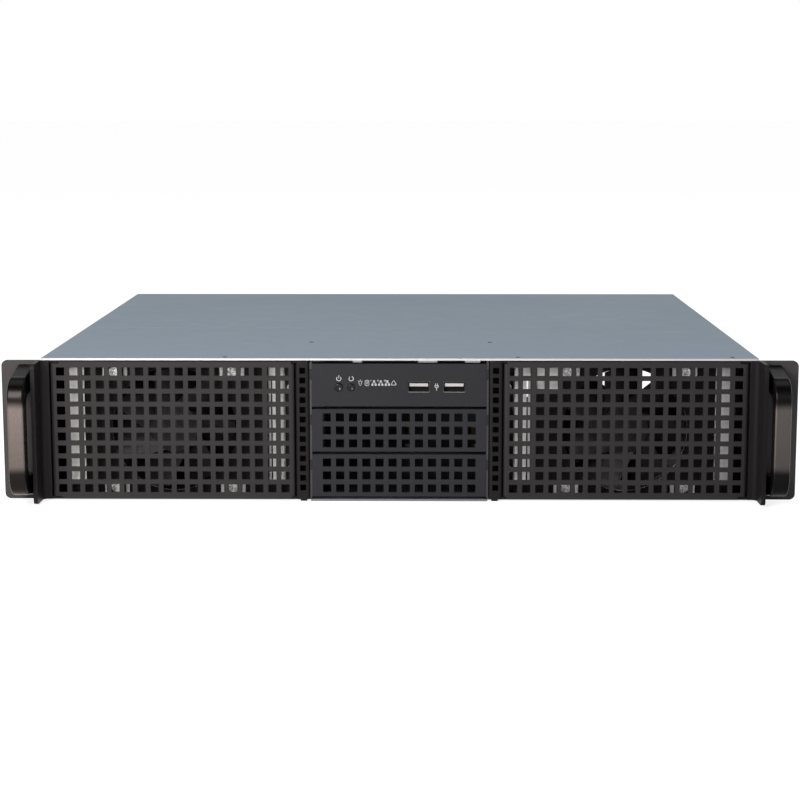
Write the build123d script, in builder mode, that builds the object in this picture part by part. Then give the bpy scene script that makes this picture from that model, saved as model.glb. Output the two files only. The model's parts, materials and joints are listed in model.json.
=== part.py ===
from build123d import *
from math import cos, radians, sin
import os

os.makedirs("parts", exist_ok=True)

# Overall sizes of the 2U case, in millimetres
body_width = 434.0
ear_reach = 24.3         # body side to ear edge, for the 482.6 mm rack width
body_height = 88.0
body_depth = 398.0       # front plane to rear panel
sheet = 1.2              # zinc-plated body sheet
bend = 2.0               # outer radius of the body's folds
clearance = 0.2          # between panels that are fitted by hand

# Front panels
front_sheet = 1.5        # black frames
door_sheet = 1.2         # black perforated doors
front_bend = 1.7         # outer radius of the frames' folds
door_bend = 1.9
front_low = 1.2          # lowest edge of the front panels
door_gap = 0.8           # gap all round a door
door_step = 0.1          # how far a door's face starts above its frame
door_depth = 7.0         # depth of a door's side flanges
flange_depth = 8.8       # depth of a frame's top and bottom flanges
fin_reach = 18.0         # how far the fin stands in front of the panel
fin_thickness = 2.5
fin_overhang = 3.0       # from the body's side to the fin's outer face
fin_corner = 3.0
fin_bend = 3.0           # inner radius between fin and stile
stile_width = 7.8        # from the fin's outer face to the door
strip_width = 8.2        # perforated strip beside the drive bays
strip_tab_width = 4.0    # tab under each strip
strip_tab_low = 0.3
stop_width = 6.8         # lip behind a door's free edge
stop_bend = 0.5

# Door perforation and the strip's holes
hole = 5.0
hole_pitch = 8.0
hole_margin = 1.5        # least plain rim of a door
strip_hole = 3.7
strip_pitch = 6.0
strip_margin = 3.0
strip_rise = 0.6         # strip holes above the middle of the front

# Hinge pins and magnets
pin_radius = 1.0
pin_inset = 3.2          # pin axis to the door's outer faces
pin_clearance = 0.05
lug_length = 9.0
magnet_radius = 2.5
magnet_thickness = 1.5
magnet_spacing = 50.0
pin_notch = 2.1          # cut-out of the door face past the pin
pin_lift = 0.6           # how far a pin reaches past its lug

# Ears and handles
ear_sheet = 2.5
ear_corner = 3.5
ear_flange_depth = 45.0
ear_flange_height = 66.0
rack_hole_inset = 8.75   # from the ear's edge
rack_unit = 44.45
slot_length = 10.5
slot_width = 6.8
handle_offset = 9.35     # body side to the middle of the handle
handle_width = 9.8
handle_reach = 33.0
handle_foot = 40.2       # half height at the ear
handle_shoulder = 35.9   # half height where the arms meet the corners
handle_corner = 13.0
handle_opening = 24.0    # half height of the finger opening
handle_grip = 10.0       # thickness of the grip
handle_taper = 2.0       # how much the opening widens towards the ear
handle_edge = 1.2
handle_screw_radius = 2.0
handle_screw_length = 10.0
screw_head_radius = 3.6
screw_head_height = 2.2
small_screw = 1.6        # shank radius of the sheet metal screws
small_head = 2.9
small_head_height = 1.8
ear_screw_inset = 8.0    # from the flange's rear edge
ear_screw_rise = 22.0    # above and below the middle

# Fans, their wall and their brackets
fan_offset = 0.55        # fan axis outside the middle of the door
fan_drop = 1.0           # fan axis below the middle of the front
fan_size = 80.0
fan_depth = 25.0
fan_bore = 76.0
fan_hole_spacing = 71.5
fan_hole = 4.4
fan_corner = 4.0
fan_hub = 29.0
fan_screw_depth = 6.0    # thread in the fan's corner
fan_head = 3.6
fan_head_height = 1.6
hub_plate = 3.0
strut_width = 4.0
sleeve_radius = 4.0
sleeve_start = 8.0
rotor_gap = 1.5          # air before and behind the rotor
hub_wall = 1.5
blade_inset = 1.0        # blade edges inside the hub's ends
fan_blades = 7
blade_thickness = 1.4
blade_sweep = 24.0       # how far a blade leads round from front to back
blade_camber = 1.5
blade_gap = 1.2
shaft_radius = 1.5
shaft_clearance = 0.05
bracket_sheet = 1.2
bracket_start = 9.0      # depth of the fan bracket behind the front plane
bracket_in = 58.0        # fan axis to the bracket's edge at the drive bays
bracket_out = 54.5       # fan axis to its outer edge
post_width = 10.7        # zinc posts that show beside the bracket
post_flange = 9.0
bracket_foot = 9.5
post_slit = 0.9          # upright slit in the inner post
post_slit_offset = 1.4   # from the slit to the bracket
wire_window_width = 14.0 # opening of the right bracket beside the fan
wire_window_height = 16.0
wire_window_low = 66.0
relief_width = 2.5
relief_height = 9.0
relief_offset = 6.4

# Drive bays
bay_half = 54.5          # half width of the bay opening
bay_pitch = 27.85
bay_low = 3.0
bay_cover_gap = 1.6      # from the bay opening to a cover
bay_cover_height = 26.1
bay_cover_depth = 9.0
bay_cover_sheet = 1.5
bay_cover_rim = 1.5
bay_margin = 4.0         # least plain rim of a cover
bay_rows = 3
cage_foot = 7.0
cage_gap = 0.3           # bay opening to cage
cage_front = 0.5         # cage behind the front plane
cage_top_front = 30.0    # where the cage's top starts
bump_height = 6.0
bump_length = 4.0
bump_rise = 6.5          # above the middle of its cover
bump_start = 0.3
drive_slot_width = 14.0
drive_slot_height = 3.6
drive_slot_first = 45.0
drive_slot_pitch = 32.0

# Control panel
button_height = 70.4
power_x = -36.5
power_radius = 2.4
reset_x = -29.0
reset_radius = 2.1
button_clearance = 0.3
button_proud = 0.8
button_travel = 0.8
button_flange = 1.3      # how far a button's collar passes its hole
button_collar = 1.0
button_length = 5.0
switch_size = 6.0
switch_depth = 5.0
led_x = -13.4
led_height = 69.2
led_pitch = 4.04
led_count = 6
led_radius = 0.9
led_body = 2.6
led_body_end = 6.0
usb_height = 70.7
usb_left_x = 11.9
usb_right_x = 33.4
usb_width = 13.2
usb_opening = 5.8
usb_wall = 0.4
usb_depth = 14.0
usb_proud = 0.3
tongue_inset = 1.0
tongue_low = 0.2
tongue_high = 2.0
board_thickness = 1.6
board_margin = 6.9       # from the panel's side to the board's
board_depth = 30.0
board_post = 4.0
board_post_inset = 3.0

# Lid and rear
seam_depth = 160.0       # where the front plate ends and the lid begins
seam_gap = 0.5
lap = 12.0
lid_flange = 10.0
lid_start_depth = 14.0   # where the lid's side flanges begin
flange_gap = 0.2         # side flange to case wall
supply_width = 142.0
supply_height = 80.0
supply_low = 3.0
supply_inset = 8.0       # body side to the supply opening
supply_depth = 146.0
supply_foot = 14.0
supply_bracket_height = 26.0
io_width = 158.75
io_height = 44.45
io_gap = 14.6            # supply opening to connector opening
io_low = 5.4
vent_columns = 14
vent_width = 3.2
vent_height = 22.0
vent_pitch = 9.6
vent_gap = 4.0
slot_count = 4
slot_pitch = 20.32
slot_opening = 12.0
slot_opening_height = 68.0
slot_low = 9.0
slot_gap = 15.65         # connector opening to the first card slot
blank_width = 18.4
blank_sheet = 0.9
blank_lap = 3.0          # blank below its slot
ledge_depth = 12.0
ledge_rise = 4.0         # ledge above the slots
blank_head = 3.0
standoff_height = 6.5
standoff_radius = 3.0
standoff_hole = 1.4
board_side = 16.0        # supply opening to the board's first holes
board_back = 16.5        # rear panel to the board's first holes
board_columns = (0, 45.72, 203.2)
board_rows = (0, 154.94, 227.33)
thumb_radius = 5.0
thumb_sides = 16
thumb_length = 6.0
thumb_drop = 6.5         # screw axis below the top of the case
thumb_tab = 14.0         # width of the lid's tab behind a thumbscrew
thumb_tab_drop = 5.0
thumb_inset = 13.0       # outer thumbscrew to the body's side
supply_thumb = 29.0      # supply opening to its thumbscrew
slot_thumb = 20.0        # first card slot to its thumbscrew
side_hole = 2.0          # slide rail holes in the side walls
side_hole_first = 75.0
side_hole_pitch = 60.0
side_holes = 5
rear_flange = 10.0

# Levels worked out from the sizes above
total_depth = handle_reach + body_depth + thumb_length
front_y = handle_reach - total_depth / 2
rear_y = front_y + body_depth
half_width = body_width / 2
rack_width = body_width + 2 * ear_reach
handle_centre = half_width + handle_offset
lid_under = body_height - sheet
front_high = lid_under - clearance
front_height = front_high - front_low
front_middle = (front_high + front_low) / 2
fin_out = half_width + fin_overhang
fin_in = fin_out - fin_thickness
stile_in = fin_out - stile_width
door_out = stile_in - door_gap
strip_out = bay_half + strip_width
door_in = strip_out + door_gap
pin_x = door_out - pin_inset
pin_y = front_y + pin_inset
flange_start = front_y + door_sheet + 0.4
flange_low = front_low + front_sheet + 0.4
flange_high = front_high - front_sheet - 0.4
ear_y = front_y + front_sheet
bracket_y = front_y + bracket_start
wall_y = bracket_y + bracket_sheet
fan_y = wall_y + sheet
fan_back = fan_y + fan_depth
fan_centre = (door_in + door_out) / 2 + fan_offset
fan_height = front_middle - fan_drop
wall_in = fan_centre - bracket_in - post_width
wall_out = fan_centre + bracket_out + post_width
hole_columns = int((door_out - door_in - 2 * hole_margin) / hole_pitch)
hole_rows = int((front_height - 2 * hole_margin) / hole_pitch)
strip_holes = int((front_height - 2 * strip_margin) / strip_pitch)
supply_centre = half_width - supply_inset - supply_width / 2
io_centre = supply_centre - supply_width / 2 - io_gap - io_width / 2
first_slot = io_centre - io_width / 2 - slot_gap


def block(x, y, z, mode=Mode.ADD):
    """A plate or cut between pairs of limits."""
    with Locations(((x[0] + x[1]) / 2, (y[0] + y[1]) / 2, (z[0] + z[1]) / 2)):
        Box(x[1] - x[0], y[1] - y[0], z[1] - z[0], mode=mode)


def folded(plane, points, thickness, radius, length):
    """A sheet folded along its outer line, run along the plane's normal."""
    with BuildSketch(plane) as section:
        with BuildLine():
            FilletPolyline(*points, radius=radius)
            offset(amount=thickness, side=Side.LEFT)
        make_face()
    extrude(section.sketch, amount=length)


def save(part, name):
    part.label = name
    export_step(part, "parts/" + name + ".step")


def save_pair(right_part, name):
    """The right-hand piece and its mirror image."""
    save(right_part, name + "_right")
    with BuildPart() as left:
        mirror(right_part, about=Plane.YZ)
    save(left.part, name + "_left")


# Grille door: a perforated face, two side flanges and a pivot lug at each end
face_low = front_low + door_step
face_high = lid_under - door_gap
notch = pin_inset + pin_notch
door_top_lug = (flange_high - door_sheet, flange_high)
door_bottom_lug = (flange_low, flange_low + door_sheet)
with BuildPart() as grille_door:
    folded(
        Plane.XY.offset(flange_low),
        [
            (door_in, front_y + door_depth),
            (door_in, front_y),
            (door_out, front_y),
            (door_out, front_y + door_depth),
        ],
        door_sheet,
        door_bend,
        flange_high - flange_low,
    )
    block(
        (door_in + door_bend, door_out - notch),
        (front_y, front_y + door_sheet),
        (face_low, face_high),
    )
    for lug in (door_top_lug, door_bottom_lug):
        block(
            (door_out - lug_length, door_out - door_sheet / 2),
            (front_y + door_sheet / 2, front_y + door_depth - 1),
            lug,
        )
    with Locations((pin_x, pin_y, front_middle)):
        Cylinder(pin_radius + pin_clearance, front_height, mode=Mode.SUBTRACT)
    with BuildSketch(Plane.XZ.offset(-front_y)):
        with Locations(((door_in + door_out) / 2, front_middle)):
            with GridLocations(hole_pitch, hole_pitch, hole_columns, hole_rows):
                Rectangle(hole, hole)
    extrude(amount=-door_sheet, mode=Mode.SUBTRACT)
save_pair(grille_door.part, "grille_door")

# Hinge pins, pressed into the frame's flanges and running in the lugs
pin_top = (flange_high - door_sheet - pin_lift, front_high)
pin_bottom = (front_low, flange_low + door_sheet + pin_lift)
with BuildPart() as hinge_pins:
    for ends in (pin_top, pin_bottom):
        with Locations((pin_x, pin_y, (ends[0] + ends[1]) / 2)):
            Cylinder(pin_radius, ends[1] - ends[0])
save_pair(hinge_pins.part, "hinge_pins")

# Front frame: fin, stile, flanges, perforated strip and door stop in one sheet
stop_y = front_y + door_depth + clearance
magnet_x = door_in + magnet_radius
with BuildPart() as front_frame:
    with BuildSketch(Plane.XY.offset(front_low)):
        with BuildLine():
            FilletPolyline(
                (stile_in, front_y),
                (fin_in, front_y),
                (fin_in, front_y - fin_reach),
                radius=fin_bend,
            )
            Polyline(
                (fin_in, front_y - fin_reach),
                (fin_out, front_y - fin_reach),
                (fin_out, ear_y),
                (stile_in, ear_y),
                (stile_in, front_y),
            )
        make_face()
    extrude(amount=front_height)
    fillet(
        front_frame.edges().filter_by(Axis.X).group_by(Axis.Y)[0],
        radius=fin_corner,
    )
    folded(
        Plane.XY.offset(front_low),
        [
            (bay_half, front_y + flange_depth),
            (bay_half, front_y),
            (strip_out, front_y),
            (strip_out, stop_y),
            (strip_out + stop_width, stop_y),
        ],
        front_sheet,
        (front_bend, front_bend, stop_bend),
        front_height,
    )
    for level in (front_low, front_high - front_sheet):
        block(
            (strip_out - front_sheet, stile_in + front_sheet),
            (flange_start, front_y + flange_depth),
            (level, level + front_sheet),
        )
        block(
            (stile_in, half_width - bend - 0.1),
            (front_y + front_sheet / 2, front_y + flange_depth),
            (level, level + front_sheet),
        )
    with BuildSketch(Plane.XZ.offset(-front_y)):
        with Locations((bay_half + strip_width / 2, front_middle + strip_rise)):
            with GridLocations(1, strip_pitch, 1, strip_holes):
                Rectangle(strip_hole, strip_hole)
    extrude(amount=-front_sheet, mode=Mode.SUBTRACT)
    block(
        (bay_half + front_bend, bay_half + front_bend + strip_tab_width),
        (front_y, front_y + front_sheet),
        (strip_tab_low, front_low + front_sheet),
    )
    with Locations((pin_x, pin_y, front_middle)):
        Cylinder(pin_radius, front_height, mode=Mode.SUBTRACT)
    with BuildSketch(Plane.XZ.offset(-stop_y)):
        with Locations((magnet_x, front_middle)):
            with GridLocations(1, magnet_spacing, 1, 2):
                Circle(magnet_radius)
    extrude(amount=-magnet_thickness, mode=Mode.SUBTRACT)
save_pair(front_frame.part, "front_frame")

# Magnets set in the door stop
with BuildPart() as door_magnets:
    with BuildSketch(Plane.XZ.offset(-stop_y)):
        with Locations((magnet_x, front_middle)):
            with GridLocations(1, magnet_spacing, 1, 2):
                Circle(magnet_radius)
    extrude(amount=-magnet_thickness)
save_pair(door_magnets.part, "door_magnets")

# Rack ear: face plate and the flange that is screwed to the case's side
rack_hole_x = rack_width / 2 - rack_hole_inset
rack_holes = [(rack_hole_x, front_middle + z) for z in (-rack_unit / 2, rack_unit / 2)]
handle_screw_z = (handle_foot + handle_opening) / 2
handle_holes = [(handle_centre, front_middle + z) for z in (-handle_screw_z, handle_screw_z)]
ear_flange = (front_middle - ear_flange_height / 2, front_middle + ear_flange_height / 2)
ear_screw_y = ear_y + ear_flange_depth - ear_screw_inset
ear_screw_places = [
    (ear_screw_y, front_middle - ear_screw_rise),
    (ear_screw_y, front_middle + ear_screw_rise),
]
with BuildPart() as ear:
    with BuildSketch(Plane.XZ.offset(-ear_y)):
        with Locations(((half_width + rack_width / 2) / 2, front_middle)):
            Rectangle((rack_width - body_width) / 2, front_height)
    extrude(amount=-ear_sheet)
    fillet(ear.edges().filter_by(Axis.Y).group_by(Axis.X)[-1], radius=ear_corner)
    block(
        (half_width, half_width + ear_sheet),
        (ear_y + ear_sheet, ear_y + ear_flange_depth),
        ear_flange,
    )
    with BuildSketch(Plane.XZ.offset(-ear_y)):
        with Locations(*rack_holes):
            SlotOverall(slot_length, slot_width)
        with Locations(*handle_holes):
            Circle(handle_screw_radius)
    extrude(amount=-ear_sheet, mode=Mode.SUBTRACT)
    with BuildSketch(Plane.YZ.offset(half_width)):
        with Locations(*ear_screw_places):
            Circle(small_screw)
    extrude(amount=ear_sheet, mode=Mode.SUBTRACT)
save_pair(ear.part, "ear")

# Screws that hold the ear flange to the case's side
with BuildPart() as ear_screws:
    with BuildSketch(Plane.YZ.offset(half_width - sheet)):
        with Locations(*ear_screw_places):
            Circle(small_screw)
    extrude(amount=sheet + ear_sheet)
    with BuildSketch(Plane.YZ.offset(half_width + ear_sheet)):
        with Locations(*ear_screw_places):
            Circle(small_head)
    extrude(amount=small_head_height)
save_pair(ear_screws.part, "ear_screws")

# Handle: a D in side view, its arms splayed towards the ear
grip_front = front_y - handle_reach
grip_back = grip_front + handle_grip
arm_y = grip_front + handle_corner
corner_z = handle_shoulder - handle_corner
sine = sin(radians(45))
with BuildPart() as handle:
    with BuildSketch(Plane.YZ.offset(handle_centre - handle_width / 2)):
        with BuildLine():
            Line((ear_y, front_middle + handle_foot), (arm_y, front_middle + handle_shoulder))
            ThreePointArc(
                (arm_y, front_middle + handle_shoulder),
                (arm_y - handle_corner * sine, front_middle + corner_z + handle_corner * sine),
                (grip_front, front_middle + corner_z),
            )
            Line((grip_front, front_middle + corner_z), (grip_front, front_middle - corner_z))
            ThreePointArc(
                (grip_front, front_middle - corner_z),
                (arm_y - handle_corner * sine, front_middle - corner_z - handle_corner * sine),
                (arm_y, front_middle - handle_shoulder),
            )
            Line((arm_y, front_middle - handle_shoulder), (ear_y, front_middle - handle_foot))
            Line((ear_y, front_middle - handle_foot), (ear_y, front_middle + handle_foot))
        make_face()
        with BuildLine():
            FilletPolyline(
                (ear_y, front_middle + handle_opening + handle_taper),
                (grip_back, front_middle + handle_opening),
                (grip_back, front_middle - handle_opening),
                (ear_y, front_middle - handle_opening - handle_taper),
                radius=handle_corner / 2,
            )
            Line(
                (ear_y, front_middle - handle_opening - handle_taper),
                (ear_y, front_middle + handle_opening + handle_taper),
            )
        make_face(mode=Mode.SUBTRACT)
    extrude(amount=handle_width)
    side_faces = handle.faces().filter_by(Axis.X).sort_by(Axis.X)
    rims = (side_faces[0].edges() + side_faces[-1].edges()).filter_by_position(
        Axis.Y, grip_front - 1, ear_y - 0.1, inclusive=(True, False)
    )
    fillet(rims, radius=handle_edge)
    with BuildSketch(Plane.XZ.offset(-ear_y)):
        with Locations(*handle_holes):
            Circle(handle_screw_radius)
    extrude(amount=handle_screw_length, mode=Mode.SUBTRACT)
save_pair(handle.part, "handle")

# Handle screws, driven from behind the ear
with BuildPart() as handle_screws:
    with BuildSketch(Plane.XZ.offset(-ear_y - ear_sheet)):
        with Locations(*handle_holes):
            Circle(handle_screw_radius)
    extrude(amount=ear_sheet + handle_screw_length)
    with BuildSketch(Plane.XZ.offset(-ear_y - ear_sheet)):
        with Locations(*handle_holes):
            Circle(screw_head_radius)
    extrude(amount=-screw_head_height)
save_pair(handle_screws.part, "handle_screws")

# Tray: floor, side walls and their front returns in zinc-plated sheet
floor_start = front_y + 6.0
wall_start = front_y + front_sheet
wall_end = rear_y - sheet
side_hole_y = [front_y + side_hole_first + side_hole_pitch * step for step in range(side_holes)]
return_height = (front_low + bend, front_high - front_sheet - clearance)
with BuildPart() as chassis_tray:
    folded(
        Plane.XZ.offset(-wall_end),
        [
            (-half_width, lid_under),
            (-half_width, 0),
            (half_width, 0),
            (half_width, lid_under),
        ],
        sheet,
        bend,
        wall_end - wall_start,
    )
    block((-half_width, half_width), (wall_start, floor_start), (0, bend), mode=Mode.SUBTRACT)
    block((-bay_half + 0.6, bay_half - 0.6), (front_y + 0.3, floor_start + 1), (0, sheet))
    for side in (-1, 1):
        limits = sorted((side * (half_width - sheet / 2), side * (stile_in + 0.6)))
        block(limits, (wall_start, wall_start + sheet), return_height)
    with BuildSketch(Plane.YZ.offset(-half_width)):
        with Locations(*ear_screw_places):
            Circle(small_screw)
        with Locations(*[(y, body_height / 2) for y in side_hole_y]):
            Circle(side_hole)
    extrude(amount=body_width, mode=Mode.SUBTRACT)
save(chassis_tray.part, "chassis_tray")

# Fan wall: a zinc sheet behind each door, with the fan's air opening and a
# slit beside the post at the drive bays
wall_low = sheet
wall_high = lid_under - sheet
fan_screw_places = [
    (fan_centre + x, fan_height + z)
    for x in (-fan_hole_spacing / 2, fan_hole_spacing / 2)
    for z in (-fan_hole_spacing / 2, fan_hole_spacing / 2)
]
slit_x = fan_centre - bracket_in - post_slit_offset - post_slit / 2
with BuildPart() as fan_wall:
    folded(
        Plane.XY.offset(wall_low),
        [
            (wall_in, wall_y + post_flange),
            (wall_in, wall_y),
            (wall_out, wall_y),
            (wall_out, wall_y + post_flange),
        ],
        sheet,
        bend,
        wall_high - wall_low,
    )
    with BuildSketch(Plane.XZ.offset(-wall_y)):
        with Locations((fan_centre, fan_height)):
            Circle(fan_bore / 2)
        with Locations(*fan_screw_places):
            Circle(fan_hole / 2)
        with Locations((slit_x, (wall_low + wall_high) / 2)):
            Rectangle(post_slit, wall_high - wall_low - 2 * bracket_foot)
    extrude(amount=-sheet, mode=Mode.SUBTRACT)
save_pair(fan_wall.part, "fan_wall")


# Fan bracket: a black plate with the air opening, relief slots beside each
# screw and a foot that runs across the posts
def bracket_plate():
    with BuildSketch(Plane.XZ.offset(-bracket_y)) as plate:
        bracket_low = wall_low + clearance
        bracket_middle = fan_centre + (bracket_out - bracket_in) / 2
        with Locations((bracket_middle, (bracket_low + wall_high) / 2)):
            Rectangle(bracket_in + bracket_out, wall_high - bracket_low)
        with Locations(((wall_in + wall_out) / 2, bracket_low + bracket_foot / 2)):
            Rectangle(wall_out - wall_in, bracket_foot)
        with Locations((fan_centre, fan_height)):
            Circle(fan_bore / 2, mode=Mode.SUBTRACT)
        with Locations(*fan_screw_places):
            Circle(fan_hole / 2, mode=Mode.SUBTRACT)
        relief_places = [
            (x + side * relief_offset, z) for x, z in fan_screw_places for side in (-1, 1)
        ]
        with Locations(*relief_places):
            Rectangle(relief_width, relief_height, mode=Mode.SUBTRACT)
    extrude(plate.sketch, amount=-bracket_sheet)


with BuildPart() as fan_bracket:
    bracket_plate()
with BuildPart() as fan_bracket_left:
    mirror(fan_bracket.part, about=Plane.YZ)
save(fan_bracket_left.part, "fan_bracket_left")

# The right bracket also has an opening for wires beside the fan
window_out = fan_centre - fan_size / 2 - clearance
with BuildPart() as fan_bracket_right:
    bracket_plate()
    block(
        (window_out - wire_window_width, window_out),
        (bracket_y, bracket_y + bracket_sheet),
        (wire_window_low, wire_window_low + wire_window_height),
        mode=Mode.SUBTRACT,
    )
save(fan_bracket_right.part, "fan_bracket_right")

# Fan screws, with flat heads on the bracket
with BuildPart() as fan_screws:
    with BuildSketch(Plane.XZ.offset(-bracket_y)):
        with Locations(*fan_screw_places):
            Circle(fan_hole / 2)
    extrude(amount=-(bracket_sheet + sheet + fan_screw_depth))
    with BuildSketch(Plane.XZ.offset(-bracket_y)):
        with Locations(*fan_screw_places):
            Circle(fan_head)
    extrude(amount=fan_head_height)
save_pair(fan_screws.part, "fan_screws")

# Fan frame: a square duct with solid corners, hub and struts at the back
with BuildPart() as fan_frame:
    with BuildSketch(Plane.XZ.offset(-fan_y)):
        with Locations((fan_centre, fan_height)):
            RectangleRounded(fan_size, fan_size, fan_corner)
            Circle(fan_bore / 2, mode=Mode.SUBTRACT)
        with Locations(*fan_screw_places):
            Circle(fan_hole / 2, mode=Mode.SUBTRACT)
    extrude(amount=-fan_depth)
    with BuildSketch(Plane.XZ.offset(-(fan_back - hub_plate))):
        with Locations((fan_centre, fan_height)):
            Circle(fan_hub / 2)
            with PolarLocations(0, 4, start_angle=45):
                with Locations((fan_bore / 4, 0)):
                    Rectangle(fan_bore / 2 + 1, strut_width)
    extrude(amount=-hub_plate)
    with BuildSketch(Plane.XZ.offset(-(fan_y + sleeve_start))):
        with Locations((fan_centre, fan_height)):
            Circle(sleeve_radius)
    extrude(amount=-(fan_depth - sleeve_start))
    with BuildSketch(Plane.XZ.offset(-fan_y)):
        with Locations((fan_centre, fan_height)):
            Circle(shaft_radius + shaft_clearance)
    extrude(amount=-fan_depth, mode=Mode.SUBTRACT)

# Fan blade: an arched sheet set across the air stream, trimmed to hub and bore
rotor_front = fan_y + rotor_gap
rotor_back = fan_back - hub_plate - rotor_gap
blade_root = fan_hub / 2 - hub_wall / 2
blade_tip = fan_bore / 2 - blade_gap
blade_front = rotor_front + blade_inset
blade_back = rotor_back - blade_inset
blade_middle = (blade_front + blade_back) / 2
with BuildPart() as fan_blade:
    with BuildSketch(Plane.XY.offset(fan_height)) as blade_section:
        with BuildLine():
            ThreePointArc(
                (fan_centre - blade_sweep / 2, blade_front),
                (fan_centre + blade_camber, blade_middle - blade_camber),
                (fan_centre + blade_sweep / 2, blade_back),
            )
            offset(amount=blade_thickness, side=Side.LEFT)
        make_face()
    extrude(amount=fan_size / 2)
    with BuildSketch(Plane.XZ.offset(-fan_y)):
        with Locations((fan_centre, fan_height)):
            Circle(blade_tip)
            Circle(blade_root, mode=Mode.SUBTRACT)
    extrude(amount=-fan_depth, mode=Mode.INTERSECT)

# Fan rotor: hub cup, shaft and blades
fan_axis = Axis((fan_centre, 0, fan_height), (0, 1, 0))
with BuildPart() as fan_rotor:
    with BuildSketch(Plane.XZ.offset(-rotor_front)):
        with Locations((fan_centre, fan_height)):
            Circle(fan_hub / 2)
    extrude(amount=-(rotor_back - rotor_front))
    with BuildSketch(Plane.XZ.offset(-(rotor_front + hub_wall))):
        with Locations((fan_centre, fan_height)):
            Circle(fan_hub / 2 - hub_wall)
    extrude(amount=-(rotor_back - rotor_front - hub_wall), mode=Mode.SUBTRACT)
    with BuildSketch(Plane.XZ.offset(-rotor_front)):
        with Locations((fan_centre, fan_height)):
            Circle(shaft_radius)
    extrude(amount=-(fan_back - hub_plate / 3 - rotor_front))
    for index in range(fan_blades):
        add(fan_blade.part.rotate(fan_axis, 360 / fan_blades * index))
for side, place in (("right", 0), ("left", -2 * fan_centre)):
    save(fan_frame.part.moved(Location((place, 0, 0))), "fan_frame_" + side)
    save(fan_rotor.part.moved(Location((place, 0, 0))), "fan_rotor_" + side)

# Drive cage: an inverted channel that carries the control panel and bay covers
cage_half = bay_half - cage_gap
cage_start = front_y + cage_front
cage_top_start = front_y + cage_top_front
cage_end = front_y + seam_depth - lap - bend
bay_cover_width = 2 * (bay_half - bay_cover_gap)
bay_columns = int((bay_cover_width - 2 * bay_margin) / hole_pitch)
cover_levels = [bay_low + bay_pitch * step + bay_cover_height / 2 for step in range(3)]
bump_levels = [level + bump_rise for level in cover_levels]
drive_slot_y = [front_y + drive_slot_first + drive_slot_pitch * step for step in range(3)]
with BuildPart() as drive_cage:
    folded(
        Plane.XZ.offset(-cage_end),
        [
            (cage_half + cage_foot, 2 * sheet),
            (cage_half, 2 * sheet),
            (cage_half, lid_under),
            (-cage_half, lid_under),
            (-cage_half, 2 * sheet),
            (-cage_half - cage_foot, 2 * sheet),
        ],
        sheet,
        (bend - sheet, bend, bend, bend - sheet),
        cage_end - cage_start,
    )
    block(
        (-cage_half + sheet, cage_half - sheet),
        (cage_start, cage_top_start),
        (lid_under - sheet, lid_under),
        mode=Mode.SUBTRACT,
    )
    for side in (-1, 1):
        limits = sorted((side * cage_half, side * (cage_half + cage_foot)))
        block(
            limits,
            (cage_start, floor_start + drive_slot_height),
            (0, 2 * sheet + clearance),
            mode=Mode.SUBTRACT,
        )
    for level in bump_levels:
        block(
            (-bay_half, bay_half),
            (cage_start, front_y + bump_length + clearance),
            (level - bump_height / 2 - clearance, level + bump_height / 2 + clearance),
            mode=Mode.SUBTRACT,
        )
    with BuildSketch(Plane.YZ.offset(-bay_half)):
        with Locations(*[(y, level) for y in drive_slot_y for level in cover_levels[:2]]):
            Rectangle(drive_slot_width, drive_slot_height)
    extrude(amount=2 * bay_half, mode=Mode.SUBTRACT)
save(drive_cage.part, "drive_cage")

# Bay covers: dished plates with a rim, side bumps and square vent holes
def bay_plate(level):
    block(
        (-bay_cover_width / 2, bay_cover_width / 2),
        (front_y, front_y + bay_cover_depth),
        (level - bay_cover_height / 2, level + bay_cover_height / 2),
    )
    block(
        (-bay_cover_width / 2 + bay_cover_rim, bay_cover_width / 2 - bay_cover_rim),
        (front_y + bay_cover_sheet, front_y + bay_cover_depth),
        (
            level - bay_cover_height / 2 + bay_cover_rim,
            level + bay_cover_height / 2 - bay_cover_rim,
        ),
        mode=Mode.SUBTRACT,
    )
    for side in (-1, 1):
        limits = sorted((side * (bay_cover_width / 2 - 0.1), side * (cage_half + 0.1)))
        bump = level + bump_rise
        block(
            limits,
            (front_y + bump_start, front_y + bump_length),
            (bump - bump_height / 2, bump + bump_height / 2),
        )


with BuildPart() as bay_cover_lower:
    bay_plate(cover_levels[0])
    with BuildSketch(Plane.XZ.offset(-front_y)):
        with Locations((0, cover_levels[0])):
            with GridLocations(hole_pitch, hole_pitch, bay_columns, bay_rows):
                Rectangle(hole, hole)
    extrude(amount=-bay_cover_sheet, mode=Mode.SUBTRACT)
save(bay_cover_lower.part, "bay_cover_lower")

with BuildPart() as bay_cover_middle:
    bay_plate(cover_levels[1])
    with BuildSketch(Plane.XZ.offset(-front_y)):
        with Locations((0, cover_levels[1])):
            with GridLocations(hole_pitch, hole_pitch, bay_columns, bay_rows):
                Rectangle(hole, hole)
    extrude(amount=-bay_cover_sheet, mode=Mode.SUBTRACT)
save(bay_cover_middle.part, "bay_cover_middle")

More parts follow.
